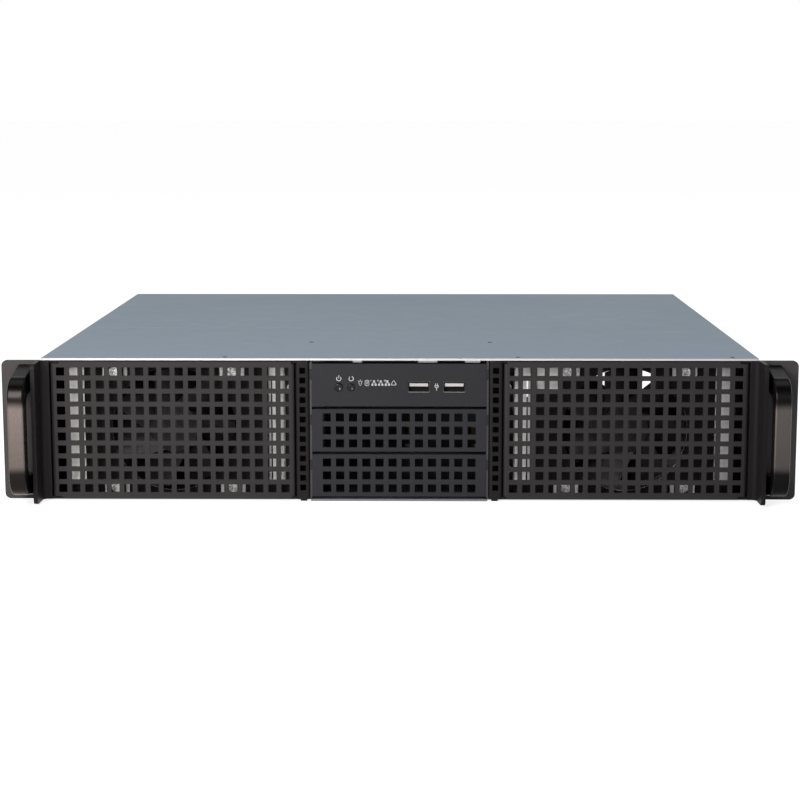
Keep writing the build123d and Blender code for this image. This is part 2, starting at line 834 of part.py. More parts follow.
# Control panel with holes for two buttons, six lamps and two ports
lamp_places = [
    (led_x + led_pitch * (step - (led_count - 1) / 2), led_height) for step in range(led_count)
]
port_places = [(x, usb_height) for x in (usb_left_x, usb_right_x)]
panel_back = front_y + bay_cover_sheet
board_top = usb_height - usb_opening / 2 - usb_wall
board_start = panel_back + button_collar + button_travel + button_clearance
board_width = bay_cover_width - 2 * board_margin
board_post_x = board_width / 2 - board_post_inset
with BuildPart() as io_panel:
    bay_plate(cover_levels[2])
    with BuildSketch(Plane.XZ.offset(-front_y)):
        with Locations((power_x, button_height)):
            Circle(power_radius + button_clearance)
        with Locations((reset_x, button_height)):
            Circle(reset_radius + button_clearance)
        with Locations(*lamp_places):
            Circle(led_radius)
        with Locations(*port_places):
            Rectangle(usb_width + 2 * clearance, usb_opening + 2 * usb_wall + 2 * clearance)
    extrude(amount=-bay_cover_sheet, mode=Mode.SUBTRACT)
    for x in (-board_post_x, board_post_x):
        block(
            (x - board_post / 2, x + board_post / 2),
            (panel_back, front_y + bay_cover_depth),
            (cover_levels[2] - bay_cover_height / 2 + bay_cover_rim, board_top - board_thickness),
        )
save(io_panel.part, "io_panel")

# Circuit board behind the control panel
with BuildPart() as io_board:
    block(
        (-board_width / 2, board_width / 2),
        (board_start, board_start + board_depth),
        (board_top - board_thickness, board_top),
    )
save(io_board.part, "io_board")


# Push buttons, each with a collar behind the panel
def button(x, radius):
    with BuildSketch(Plane.XZ.offset(-(front_y - button_proud))) as cap:
        with Locations((x, button_height)):
            Circle(radius)
    extrude(cap.sketch, amount=-(button_proud + bay_cover_sheet + button_length))
    with BuildSketch(Plane.XZ.offset(-panel_back)) as collar:
        with Locations((x, button_height)):
            Circle(radius + button_flange)
    extrude(collar.sketch, amount=-button_collar)


with BuildPart() as power_button:
    button(power_x, power_radius)
    fillet(power_button.edges().filter_by(GeomType.CIRCLE).sort_by(Axis.Y)[0], radius=0.6)
save(power_button.part, "power_button")

with BuildPart() as reset_button:
    button(reset_x, reset_radius)
    fillet(reset_button.edges().filter_by(GeomType.CIRCLE).sort_by(Axis.Y)[0], radius=0.5)
save(reset_button.part, "reset_button")

# Switches on the board behind the buttons
switch_y = panel_back + button_length + button_travel + clearance
with BuildPart() as switches:
    for x in (power_x, reset_x):
        block(
            (x - switch_size / 2, x + switch_size / 2),
            (switch_y, switch_y + switch_depth),
            (board_top, button_height + switch_size / 2),
        )
save(switches.part, "switches")

# Lamps: a light pipe through the panel on a lamp body
with BuildPart() as status_lamps:
    with BuildSketch(Plane.XZ.offset(-(front_y + clearance))):
        with Locations(*lamp_places):
            Circle(led_radius)
    extrude(amount=-2 * bay_cover_sheet)
    for x, z in lamp_places:
        block(
            (x - led_body / 2, x + led_body / 2),
            (panel_back + bay_cover_sheet / 2, front_y + led_body_end),
            (board_top, z + led_body / 2),
        )
save(status_lamps.part, "status_lamps")

# USB ports: drawn steel shells with a tongue inside
with BuildPart() as usb_shells:
    with BuildSketch(Plane.XZ.offset(-(front_y - usb_proud))):
        with Locations(*port_places):
            Rectangle(usb_width, usb_opening + 2 * usb_wall)
    extrude(amount=-usb_depth)
    with BuildSketch(Plane.XZ.offset(-(front_y - usb_proud))):
        with Locations(*port_places):
            Rectangle(usb_width - 2 * usb_wall, usb_opening)
    extrude(amount=-(usb_depth - usb_wall), mode=Mode.SUBTRACT)
save(usb_shells.part, "usb_shells")

with BuildPart() as usb_tongues:
    for x, z in port_places:
        block(
            (x - usb_width / 2 + tongue_inset, x + usb_width / 2 - tongue_inset),
            (front_y + tongue_inset, front_y - usb_proud + usb_depth - usb_wall),
            (z + tongue_low, z + tongue_high),
        )
save(usb_tongues.part, "usb_tongues")

# Front cover plate: fixed, with tabs at its front edge and a tongue for the lid
seam_y = front_y + seam_depth
side_inner = half_width - sheet - flange_gap
tab_limits = [(-28.0, -22.4), (11.5, 23.0), (39.8, 49.0)]


def lid_section(start, end):
    """A flat top whose sides are folded down inside the case's walls."""
    block((-half_width, half_width), (start, end), (lid_under, body_height))
    for side in (-1, 1):
        limits = sorted((side * side_inner, side * (side_inner - sheet)))
        flange_end = min(end, rear_y - sheet)
        flange_start_y = max(start, front_y + lid_start_depth)
        block(limits, (flange_start_y, flange_end), (lid_under - lid_flange, lid_under))


with BuildPart() as top_plate:
    lid_section(front_y, seam_y)
    block(
        (-side_inner + 2 * sheet, side_inner - 2 * sheet),
        (seam_y - lap, seam_y + lap),
        (lid_under - sheet, lid_under),
    )
    for limits in tab_limits:
        block(limits, (front_y, front_y + sheet), (lid_under - sheet, lid_under))
save(top_plate.part, "top_plate")

# Lid: the removable rear cover, with tabs for the thumbscrews
lid_start = seam_y + seam_gap
thumb_x = [
    supply_centre - supply_width / 2 - supply_thumb,
    first_slot + slot_thumb,
    -half_width + thumb_inset,
]
thumb_places = [(x, body_height - thumb_drop) for x in thumb_x]
with BuildPart() as top_cover:
    lid_section(lid_start, rear_y)
    for x, z in thumb_places:
        block(
            (x - thumb_tab / 2, x + thumb_tab / 2),
            (rear_y - 2 * sheet, rear_y - sheet),
            (z - thumb_tab_drop, lid_under),
        )
    with BuildSketch(Plane.XZ.offset(-rear_y)):
        with Locations(*thumb_places):
            Circle(small_screw)
    extrude(amount=2 * sheet, mode=Mode.SUBTRACT)
save(top_cover.part, "top_cover")

# Rear panel: cut-outs for power supply, board connectors and cards, air vents
# and a ledge for the slot blanks
panel_inner = rear_y - sheet
slot_high = slot_low + slot_opening_height
slot_middle_z = (slot_low + slot_high) / 2
ledge_z = slot_high + ledge_rise
vent_z = io_low + io_height + vent_gap + vent_height / 2
slot_places = [(first_slot - slot_pitch * step, slot_middle_z) for step in range(slot_count)]
slot_middle = first_slot - slot_pitch * (slot_count - 1) / 2
ledge_half = slot_pitch * slot_count / 2
blank_screw_y = panel_inner - ledge_depth / 2
blank_screw_places = [(x, blank_screw_y) for x, z in slot_places]
with BuildPart() as rear_panel:
    with BuildSketch(Plane.XZ.offset(-panel_inner)):
        with Locations((0, lid_under / 2)):
            Rectangle(body_width, lid_under)
        with Locations((supply_centre, supply_low + supply_height / 2)):
            Rectangle(supply_width, supply_height, mode=Mode.SUBTRACT)
        with Locations((io_centre, io_low + io_height / 2)):
            Rectangle(io_width, io_height, mode=Mode.SUBTRACT)
        with Locations(*slot_places):
            Rectangle(slot_opening, slot_opening_height, mode=Mode.SUBTRACT)
        with Locations((io_centre, vent_z)):
            with GridLocations(vent_pitch, 1, vent_columns, 1):
                Rectangle(vent_width, vent_height, mode=Mode.SUBTRACT)
        with Locations(*thumb_places):
            Circle(small_screw, mode=Mode.SUBTRACT)
    extrude(amount=-sheet)
    block(
        (-half_width + sheet + bend, half_width - sheet - bend),
        (panel_inner - rear_flange, panel_inner + sheet / 2),
        (sheet, 2 * sheet),
    )
    for side in (-1, 1):
        limits = sorted((side * (half_width - sheet), side * (half_width - 2 * sheet)))
        block(
            limits,
            (panel_inner - rear_flange, panel_inner + sheet / 2),
            (bend + 1, lid_under - lid_flange - 1),
        )
    block(
        (slot_middle - ledge_half, slot_middle + ledge_half),
        (panel_inner - ledge_depth, panel_inner + sheet / 2),
        (ledge_z - sheet, ledge_z),
    )
    for x, z in slot_places:
        block(
            (x - blank_width / 2 - clearance, x + blank_width / 2 + clearance),
            (panel_inner - blank_sheet - clearance / 2, panel_inner),
            (ledge_z - sheet, ledge_z),
            mode=Mode.SUBTRACT,
        )
    with BuildSketch(Plane.XY.offset(ledge_z - sheet)):
        with Locations(*blank_screw_places):
            Circle(small_screw)
    extrude(amount=sheet, mode=Mode.SUBTRACT)
save(rear_panel.part, "rear_panel")

# Slot blanks: a plate inside each card slot with a tab on the ledge
with BuildPart() as slot_blanks:
    for x, z in slot_places:
        block(
            (x - blank_width / 2, x + blank_width / 2),
            (panel_inner - blank_sheet, panel_inner),
            (slot_low - blank_lap, ledge_z + blank_sheet),
        )
        block(
            (x - blank_width / 2, x + blank_width / 2),
            (panel_inner - ledge_depth + clearance, panel_inner - blank_sheet / 2),
            (ledge_z, ledge_z + blank_sheet),
        )
    with BuildSketch(Plane.XY.offset(ledge_z)):
        with Locations(*blank_screw_places):
            Circle(small_screw)
    extrude(amount=blank_sheet, mode=Mode.SUBTRACT)
save(slot_blanks.part, "slot_blanks")

# Screws that hold the slot blanks to the ledge
with BuildPart() as blank_screws:
    with BuildSketch(Plane.XY.offset(ledge_z - 2 * sheet)):
        with Locations(*blank_screw_places):
            Circle(small_screw)
    extrude(amount=2 * sheet + blank_sheet)
    with BuildSketch(Plane.XY.offset(ledge_z + blank_sheet)):
        with Locations(*blank_screw_places):
            Circle(blank_head)
    extrude(amount=small_head_height)
save(blank_screws.part, "blank_screws")

# Knurled thumbscrews that hold the lid
with BuildPart() as thumbscrews:
    with BuildSketch(Plane.XZ.offset(-rear_y)):
        with Locations(*thumb_places):
            RegularPolygon(thumb_radius, thumb_sides)
    extrude(amount=-thumb_length)
    with BuildSketch(Plane.XZ.offset(-rear_y)):
        with Locations(*thumb_places):
            Circle(small_screw)
    extrude(amount=3 * sheet)
save(thumbscrews.part, "thumbscrews")

# Bracket that stops and carries the power supply's inner end
with BuildPart() as supply_bracket:
    folded(
        Plane.YZ.offset(supply_centre - supply_width / 2),
        [
            (rear_y - supply_depth, supply_bracket_height),
            (rear_y - supply_depth, 2 * sheet),
            (rear_y - supply_depth - supply_foot, 2 * sheet),
        ],
        sheet,
        bend - sheet,
        supply_width,
    )
save(supply_bracket.part, "supply_bracket")

# Brass standoffs for the mainboard
board_corner_x = supply_centre - supply_width / 2 - board_side
board_corner_y = rear_y - board_back
standoff_places = [
    (board_corner_x - x, board_corner_y - y) for x in board_columns for y in board_rows
]
with BuildPart() as standoffs:
    with BuildSketch(Plane.XY.offset(sheet)):
        with Locations(*standoff_places):
            RegularPolygon(standoff_radius, 6)
            Circle(standoff_hole, mode=Mode.SUBTRACT)
    extrude(amount=standoff_height)
save(standoffs.part, "standoffs")
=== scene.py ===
import json
import math

import bmesh
import bpy
import numpy as np
from mathutils import Matrix, Vector


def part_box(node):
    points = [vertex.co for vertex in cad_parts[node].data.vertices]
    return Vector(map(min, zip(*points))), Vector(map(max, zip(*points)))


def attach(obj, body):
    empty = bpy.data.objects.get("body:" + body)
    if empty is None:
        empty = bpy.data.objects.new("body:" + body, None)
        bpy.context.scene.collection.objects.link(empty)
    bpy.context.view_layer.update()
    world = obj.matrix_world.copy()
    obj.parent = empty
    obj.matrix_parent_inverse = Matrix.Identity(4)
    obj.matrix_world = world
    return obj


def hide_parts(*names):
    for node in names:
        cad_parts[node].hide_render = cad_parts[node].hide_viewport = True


mm = 0.001
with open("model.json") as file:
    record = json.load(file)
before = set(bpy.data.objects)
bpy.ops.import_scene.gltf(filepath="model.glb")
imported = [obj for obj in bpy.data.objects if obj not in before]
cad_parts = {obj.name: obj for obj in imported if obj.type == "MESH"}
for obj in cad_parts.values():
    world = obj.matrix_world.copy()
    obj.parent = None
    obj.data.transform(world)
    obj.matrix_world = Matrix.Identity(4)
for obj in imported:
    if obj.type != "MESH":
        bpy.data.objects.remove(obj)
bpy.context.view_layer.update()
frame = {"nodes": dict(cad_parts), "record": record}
nodes = frame["nodes"]
bodyOf = {n: body for body, names in frame["record"]["behaviour"]["bodies"].items() for n in names}
slotOf = {part["node"]: part["material_slot"] for part in frame["record"]["subparts"]}
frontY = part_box("grille_door_right")[0].y  # the plane of the front panels
print("frame loaded with", len(nodes), "nodes")

# What the picture is taken with, placed from the front plane of the case
lens = {
    "focal": 85.32,
    "sensor": 36.0,
    "clip": (0.01, 50),
    "place": (13.64 * mm, -1135.0 * mm, 238.6 * mm),
    "tilt": 81.19,
    "turn": 0.662,
    "roll": -0.03,
}


def setCamera():
    # turned about Z, then tilted about its own X, then rolled about its view
    data = bpy.data.cameras.new("photoCamera")
    data.lens, data.sensor_width = lens["focal"], lens["sensor"]
    data.clip_start, data.clip_end = lens["clip"]
    camera = bpy.data.objects.new("photoCamera", data)
    x, y, z = lens["place"]
    camera.matrix_world = (
        Matrix.Translation((x, frontY + y, z))
        @ Matrix.Rotation(math.radians(lens["turn"]), 4, "Z")
        @ Matrix.Rotation(math.radians(lens["tilt"]), 4, "X")
        @ Matrix.Rotation(math.radians(lens["roll"]), 4, "Z")
    )
    bpy.context.scene.collection.objects.link(camera)
    bpy.context.scene.camera = camera


setCamera()
print("camera set")


class Term:  # a number from a node socket, with + - * > < as Math nodes
    def __init__(self, owner, socket):
        self.owner, self.socket = owner, socket

    def math(self, operation, other, swap=False):
        pair = (other, self) if swap else (self, other)
        return self.owner.node("Math", {"operation": operation}, {0: pair[0], 1: pair[1]})

    def __add__(self, other):
        return self.math("ADD", other)

    def __radd__(self, other):
        return self.math("ADD", other, True)

    def __sub__(self, other):
        return self.math("SUBTRACT", other)

    def __rsub__(self, other):
        return self.math("SUBTRACT", other, True)

    def __mul__(self, other):
        return self.math("MULTIPLY", other)

    def __rmul__(self, other):
        return self.math("MULTIPLY", other, True)

    def __gt__(self, other):
        return self.math("GREATER_THAN", other)

    def __lt__(self, other):
        return self.math("LESS_THAN", other)


class Nodes:  # an emptied node tree, with short ways to add to it
    def __init__(self, tree):
        self.tree = tree
        tree.nodes.clear()

    def plug(self, socket, value):
        if isinstance(value, Term):
            self.tree.links.new(value.socket, socket)
        elif isinstance(value, tuple) and len(value) == 3 and socket.type == "RGBA":
            socket.default_value = (*value, 1)
        else:
            socket.default_value = value

    def node(self, kind, settings=None, inputs=None, output=0):
        made = self.tree.nodes.new("ShaderNode" + kind)
        for label, value in (settings or {}).items():
            setattr(made, label, value)
        for label, value in (inputs or {}).items():
            self.plug(made.inputs[label], value)
        return Term(self, made.outputs[output])

    def split(self, vector):
        parts = self.node("SeparateXYZ", {}, {0: vector}).socket.node
        return [Term(self, parts.outputs[axis]) for axis in range(3)]

    def along(self):
        # the three Object coordinates of a point
        return self.split(self.node("TexCoord", output="Object"))

    def place(self, scale=(1, 1, 1)):
        spot = self.node("TexCoord", output="Object")
        return self.node("Mapping", {}, {"Vector": spot, "Scale": scale})

    def noise(self, scale, detail, stretch=(1, 1, 1)):
        size = {"Vector": self.place(stretch), "Scale": scale, "Detail": detail}
        return self.node("TexNoise", {}, size)

    def between(self, factor, first, second):
        inputs = {0: factor, 6: first, 7: second}
        return self.node("Mix", {"data_type": "RGBA"}, inputs, output=2)

    def share(self, value, start, end, curve="LINEAR"):
        # 0 where the value is at or before start, 1 from end on
        span = {"Value": value, "From Min": start, "From Max": end}
        return self.node("MapRange", {"interpolation_type": curve}, span)

    def bump(self, height, depth):
        return self.node("Bump", {}, {"Height": height, "Distance": depth})


class Paint(Nodes):  # one finish: a Principled shader and the nodes that feed it
    def __init__(self, name, **fixed):
        self.material = bpy.data.materials.new(name)
        self.material.use_nodes = True
        super().__init__(self.material.node_tree)
        self.shader = self.tree.nodes.new("ShaderNodeBsdfPrincipled")
        output = self.tree.nodes.new("ShaderNodeOutputMaterial")
        self.tree.links.new(self.shader.outputs[0], output.inputs[0])
        self.feed(**fixed)

    def feed(self, **sockets):
        for label, value in sockets.items():
            self.plug(self.shader.inputs[label.replace("_", " ")], value)


def tint(colour, factor):
    return tuple(min(1.0, c * factor) for c in colour)


def around(middle, *swings):
    # a value that noises from 0 to 1 swing about its middle, each by its own amount
    value = middle - sum(amount for _, amount in swings) / 2
    for noise, amount in swings:
        value += noise * amount
    return value


powder = {
    "grain": 1500,
    "grainDepth": 0.03 * mm,
    "grainShare": 0.3,
    "cloud": 22,
    "cloudShare": 0.7,
    "vary": 0.10,
    "roughVary": 0.1,
}


def powderCoat(name, colour, rough=0.42, sheen=0.15):
    # satin powder coat: a fine orange peel, cloudy gloss and a slight change of tone
    paint = Paint(name, Specular_IOR_Level=sheen)
    cloud = paint.noise(powder["cloud"], 3)
    grain = paint.noise(powder["grain"], 2)
    low, high = tint(colour, 1 - powder["vary"]), tint(colour, 1 + powder["vary"])
    tone = cloud * powder["cloudShare"] + grain * powder["grainShare"]
    paint.feed(
        Base_Color=paint.between(tone, low, high),
        Roughness=around(rough, (cloud, powder["roughVary"])),
        Normal=paint.bump(grain, powder["grainDepth"]),
    )
    return paint.material


zincSheet = {
    "spangle": 95,
    "spangleShare": 0.35,
    "spangleRough": 0.06,
    "spangleTone": 0.05,
    "cloud": 9,
    "cloudShare": 0.45,
    "cloudRough": 0.12,
    "streak": 260,
    "streakShare": 0.2,
    "streakStretch": (0.06, 1, 1),
    "streakDepth": 0.006 * mm,
    "skin": 0.6 * mm,  # half a sheet: what lies deeper than this is inside
    "openDepth": 12 * mm,  # how far behind the front panels the sheet keeps its own tone before the painted shade of the inside starts
    "innerShade": (0.016, 0.016, 0.017),  # painted shade of the inside just behind the grilles
    "innerDull": 0.5,
    "shadeDepth": (70 * mm, 140 * mm),  # where that painted shade turns into the inner tone, itself painted shade
    # painted shade: the front faces of the zinc, darker than the rest
    "frontTone": (0.23, 0.235, 0.245),
    "frontDepth": 1.2 * mm,
    # lipDepth and lipHeight: where the lid's painted highlight lies
    "lipDepth": 0.9 * mm,
    "lipHeight": 1.3 * mm,
}


def insideCase(paint):
    # 1 on the faces that are turned to the inside of the closed case
    caseLow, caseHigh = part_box("chassis_tray")
    lows = (caseLow.x, frontY + zincSheet["openDepth"], caseLow.z)
    highs = (caseHigh.x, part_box("rear_panel")[1].y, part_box("top_cover")[1].z)
    mask, skin = 1.0, zincSheet["skin"]
    for place, low, high in zip(paint.along(), lows, highs):
        mask = mask * (place > low + skin) * (place < high - skin)
    return mask


def zincPlate(name, colour, metallic, rough, grazing=(1.0, 1.0, 1.0), sheen=0.5, inner=None, lip=None):
    # zinc-plated sheet: faint crystals, cloudy tone and a fine rolled grain along X;
    # inner is the painted shade inside the case, lip the painted highlight on the front edge of the lid
    paint = Paint(name, Metallic=metallic, Specular_Tint=grazing, Specular_IOR_Level=sheen)
    cells = {"Vector": paint.place(), "Scale": zincSheet["spangle"]}
    crystal = paint.node("SeparateColor", {}, {0: paint.node("TexVoronoi", {}, cells, "Color")})
    cloud = paint.noise(zincSheet["cloud"], 4)
    streak = paint.noise(zincSheet["streak"], 3, zincSheet["streakStretch"])
    tone = crystal * zincSheet["spangleShare"] + cloud * zincSheet["cloudShare"]
    tone = tone + streak * zincSheet["streakShare"]
    low = tint(colour, 1 - zincSheet["spangleTone"])
    high = tint(colour, 1 + zincSheet["spangleTone"])
    plate = paint.between(tone, low, high)
    haze = around(rough, (cloud, zincSheet["cloudRough"]), (crystal, zincSheet["spangleRough"]))
    # painted shade: inside the case the sheet goes dark, dull and not metallic, darkest just behind the
    # grilles
    if inner:
        start, end = zincSheet["shadeDepth"]
        depth = paint.share(paint.along()[1], frontY + start, frontY + end)
        inside = insideCase(paint)
        plate = paint.between(inside, plate, paint.between(depth, zincSheet["innerShade"], inner))
        haze = haze + inside * zincSheet["innerDull"]
        paint.feed(Metallic=(1 - inside) * metallic)
    if lip:
        y, z = paint.along()[1:]
        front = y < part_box("top_plate")[0].y + zincSheet["lipDepth"]
        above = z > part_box("top_plate")[1].z - zincSheet["lipHeight"]
        # painted shade on the front faces of the zinc
        plate = paint.between(y < frontY + zincSheet["frontDepth"], plate, zincSheet["frontTone"])
        # painted highlight: the lid's front edge made bright
        plate = paint.between(front * above, plate, lip)
    paint.feed(
        Base_Color=plate,
        Roughness=haze,
        Normal=paint.bump(streak, zincSheet["streakDepth"]),
    )
    return paint.material


plastic = {"spark": 2600, "sparkDepth": 0.02 * mm, "flow": 30, "vary": 0.15, "roughVary": 0.14}


def mouldedPlastic(name, colour, rough=0.5, sheen=0.2):
    # moulded plastic with a fine spark texture and a little flow of tone
    paint = Paint(name, Specular_IOR_Level=sheen)
    spark = paint.noise(plastic["spark"], 1)
    flow = paint.noise(plastic["flow"], 2)
    low, high = tint(colour, 1 - plastic["vary"]), tint(colour, 1 + plastic["vary"])
    paint.feed(
        Base_Color=paint.between(flow, low, high),
        Roughness=around(rough, (spark, plastic["roughVary"])),
        Normal=paint.bump(spark, plastic["sparkDepth"]),
    )
    return paint.material


metal = {
    "mark": 900,
    "markStretch": (1, 0.2, 1),
    "markDepth": 0.006 * mm,
    "haze": 120,
    "hazeTone": 0.92,
    "roughVary": 0.14,
}


def brightMetal(name, colour, rough, metallic=1.0, lip=None):
    # bright plated metal with fine handling marks; above the height of a lower lip it is painted darker,
    # painted shade, and the lip keeps the bright tone as a painted highlight
    paint = Paint(name, Metallic=metallic)
    mark = paint.noise(metal["mark"], 4, metal["markStretch"])
    haze = paint.noise(metal["haze"], 2)
    plate = paint.between(haze, tint(colour, metal["hazeTone"]), colour)
    if lip:
        plate = paint.between(paint.along()[2] > lip["height"], plate, lip["above"])
    paint.feed(
        Base_Color=plate,
        Roughness=around(rough, (mark, metal["roughVary"])),
        Normal=paint.bump(mark, metal["markDepth"]),
    )
    return paint.material


grip = {
    "middle": 44.5 * mm,
    "half": 18 * mm,
    "fade": 6 * mm,
    "waver": 4 * mm,
    "rise": 0.4,  # how much of the painted highlight grows lighter with height
    "grain": 1400,
    "grainStretch": (1, 1, 0.05),
    "grainDepth": 0.004 * mm,
    "grainShare": 0.4,
    "grainRough": 0.1,
    "cloud": 30,
    "cloudShare": 0.6,
    "cloudRough": 0.06,
    "plainTones": (0.88, 1.1),  # the darkest and lightest share of each colour
    "highlightTones": (0.7, 1.35),
    "reflect": (0.8, 0.8, 0.8),
}


def brushedBlack(name, colour, highlightColour, rough=0.28):
    # black anodised aluminium with a fine drawn grain, and a painted highlight that is lighter in the
    # middle of the grip
    paint = Paint(name, Metallic=1.0, Specular_Tint=grip["reflect"])
    grain = paint.noise(grip["grain"], 3, grip["grainStretch"])
    cloud = paint.noise(grip["cloud"], 3)
    above = paint.along()[2] - grip["middle"]
    off = paint.node("Math", {"operation": "ABSOLUTE"}, {0: above}) + cloud * grip["waver"]
    # painted highlight: a band over the grip's flat front that fades out above and below
    highlightShare = paint.share(off, grip["half"] + grip["fade"], grip["half"], "SMOOTHSTEP")
    tone = cloud * grip["cloudShare"] + grain * grip["grainShare"]
    climb = (above * (0.5 / grip["half"]) + 0.5) * grip["rise"]
    plain = paint.between(tone, *[tint(colour, share) for share in grip["plainTones"]])
    tone = tone * (1 - grip["rise"]) + climb
    highlighted = paint.between(tone, *[tint(highlightColour, share) for share in grip["highlightTones"]])
    paint.feed(
        Base_Color=paint.between(highlightShare, plain, highlighted),
        Roughness=around(rough, (grain, grip["grainRough"]), (cloud, grip["cloudRough"])),
        Normal=paint.bump(grain, grip["grainDepth"]),
    )
    return paint.material


solder = {
    "track": 420,
    "trackStretch": (0.25, 1, 1),
    "trackFrom": 0.52,
    "trackTone": 1.7,
    "trackDepth": 0.03 * mm,
    "rough": 0.3,
}


def solderMask(name, colour):
    # green board: darker gaps between straight copper tracks under the gloss
    paint = Paint(name, Roughness=solder["rough"])
    track = paint.noise(solder["track"], 1, solder["trackStretch"]) > solder["trackFrom"]
    paint.feed(
        Base_Color=paint.between(track, colour, tint(colour, solder["trackTone"])),
        Normal=paint.bump(track, solder["trackDepth"]),
    )
    return paint.material


smoke = {"haze": 700, "hazeTone": 1.3, "rough": 0.12, "roughVary": 0.1, "sheen": 0.3}


def smokedClear(name, colour):
    # smoked light pipe with a slightly hazy face
    paint = Paint(name, Specular_IOR_Level=smoke["sheen"])
    haze = paint.noise(smoke["haze"], 2)
    paint.feed(
        Base_Color=paint.between(haze, colour, tint(colour, smoke["hazeTone"])),
        Roughness=haze * smoke["roughVary"] + smoke["rough"],
    )
    return paint.material


lidZinc = {
    "metallic": 0.55,
    "rough": 0.42,
    "grazing": (0.37, 0.43, 0.50),
    "sheen": 0.2,
    # inner: painted shade inside the case
    "inner": (0.09, 0.095, 0.10),
    # lip: painted highlight on the lid's front edge
    "lip": (0.60, 0.60, 0.61),
}
# portLip: painted shade on the port metal above this height, painted highlight on the lip below
portLip = {"height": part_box("usb_shells")[0].z + 0.45 * mm, "above": (0.16, 0.16, 0.155)}
finish = {
    "panel": powderCoat("satinBlackPanel", (0.0265, 0.0245, 0.0265)),
    "bay": powderCoat("satinBlackBay", (0.0205, 0.021, 0.025)),
    # the front frames take the panel's black painted darker: painted shade on the fins and stiles
    "frame": powderCoat("shadedBlackFrame", (0.0145, 0.0132, 0.0140), 0.42, 0.08),
    "ear": powderCoat("satinBlackEar", (0.054, 0.051, 0.051), 0.38),
    # the handle's third colour is the grip's painted highlight
    "handle": brushedBlack("anodisedHandle", (0.015, 0.014, 0.014), (0.125, 0.111, 0.105)),
    "pin": powderCoat("blackPin", (0.020, 0.020, 0.020)),
    "zinc": zincPlate("zincPlate", (0.31, 0.37, 0.43), **lidZinc),
    "zincPlain": zincPlate("zincBlank", (0.50, 0.51, 0.52), 0.6, 0.4),
    # the fan walls' zinc painted near white: painted light on the posts seen through the grilles
    "litWallZinc": zincPlate("litWallZincPlate", (0.94, 0.94, 0.94), 0.25, 0.35),
    # the drive cage's zinc painted dark: painted shade inside the bays
    "shadedZinc": zincPlate("shadedCageZinc", (0.05, 0.052, 0.054), 0.7, 0.4),
    "fan": mouldedPlastic("mouldedFan", (0.010, 0.009, 0.009)),
    "rotor": mouldedPlastic("mouldedRotor", (0.016, 0.015, 0.015), 0.4, 0.3),
    "bracket": powderCoat("blackBracket", (0.012, 0.010, 0.010), 0.45, 0.1),
    "screw": brightMetal("brightScrew", (0.93, 0.95, 0.95), 0.36, 0.6),
    "nickel": brightMetal("nickelScrew", (0.60, 0.60, 0.59), 0.26),
    "magnet": brightMetal("nickelMagnet", (0.62, 0.62, 0.61), 0.3),
    "board": solderMask("solderMask", (0.020, 0.100, 0.040)),
    "switch": mouldedPlastic("mouldedSwitch", (0.030, 0.030, 0.030)),
    "button": mouldedPlastic("glossButton", (0.003, 0.003, 0.004), 0.12, 0.3),
    "lamp": smokedClear("smokedLamp", (0.004, 0.004, 0.005)),
    "port": brightMetal("portSteel", (0.50, 0.50, 0.48), 0.25, lip=portLip),
    "tongue": mouldedPlastic("portTongue", (0.50, 0.50, 0.49), 0.35),
    "core": mouldedPlastic("portCore", (0.006, 0.006, 0.006), 0.5, 0.1),
    "brass": brightMetal("turnedBrass", (0.30, 0.24, 0.12), 0.35),
    "mark": mouldedPlastic("printedWhite", (0.50, 0.50, 0.50), 0.5, 0.2),
}
print("finishes mixed:", len(finish))

slotFinish = {
    "panel_black": "panel",
    "handle_black": "handle",
    "zinc": "zinc",
    "fan_black": "fan",
    "screw_steel": "screw",
    "magnet": "magnet",
    "board_green": "board",
    "switch_black": "switch",
    "button_black": "button",
    "lamp_clear": "lamp",
    "port_steel": "port",
    "port_tongue": "tongue",
    "standoff_brass": "brass",
}
ownFinish = {  # nodes whose finish differs from the rest of their slot
    "io_panel": "bay",
    "bay_cover_middle": "bay",
    "bay_cover_lower": "bay",
    "front_frame_left": "frame",
    "front_frame_right": "frame",
    "ear_left": "ear",
    "ear_right": "ear",
    "fan_wall_left": "litWallZinc",
    "fan_wall_right": "litWallZinc",
    "fan_bracket_left": "bracket",
    "fan_bracket_right": "bracket",
    "fan_rotor_left": "rotor",
    "fan_rotor_right": "rotor",
    "drive_cage": "shadedZinc",
    "slot_blanks": "zincPlain",
    "hinge_pins_left": "pin",
    "hinge_pins_right": "pin",
}


def dressNodes():
    for name, slotName in slotOf.items():
        node = nodes[name]
        chosen = finish[ownFinish.get(name, slotFinish[slotName])]
        if not node.material_slots:
            node.data.materials.append(chosen)
        for place in node.material_slots:
            place.material = chosen


dressNodes()
print("nodes dressed")


def wrapFaces(rows, columns, closed=True):
    # quads between the neighbouring rows of a grid of points, wrapped round the columns if closed
    starts = np.arange(columns if closed else columns - 1)
    row, column = np.meshgrid(np.arange(rows - 1), starts, indexing="ij")
    beside = (column + 1) % columns
    near, far = row * columns, (row + 1) * columns
    return np.stack((near + column, near + beside, far + beside, far + column), -1).reshape(-1, 4)


def tube(rings):
    # a closed solid: rings of points carried one after the other along a path,
    # with a flat face over the first and the last ring
    spots = np.stack(rings)
    rows, columns = spots.shape[:2]
    last = (rows - 1) * columns
    ends = [list(range(columns))[::-1], [last + i for i in range(columns)]]
    return spots, wrapFaces(rows, columns).tolist() + ends


weld = {"merge": 1e-6, "collapse": 1e-7}


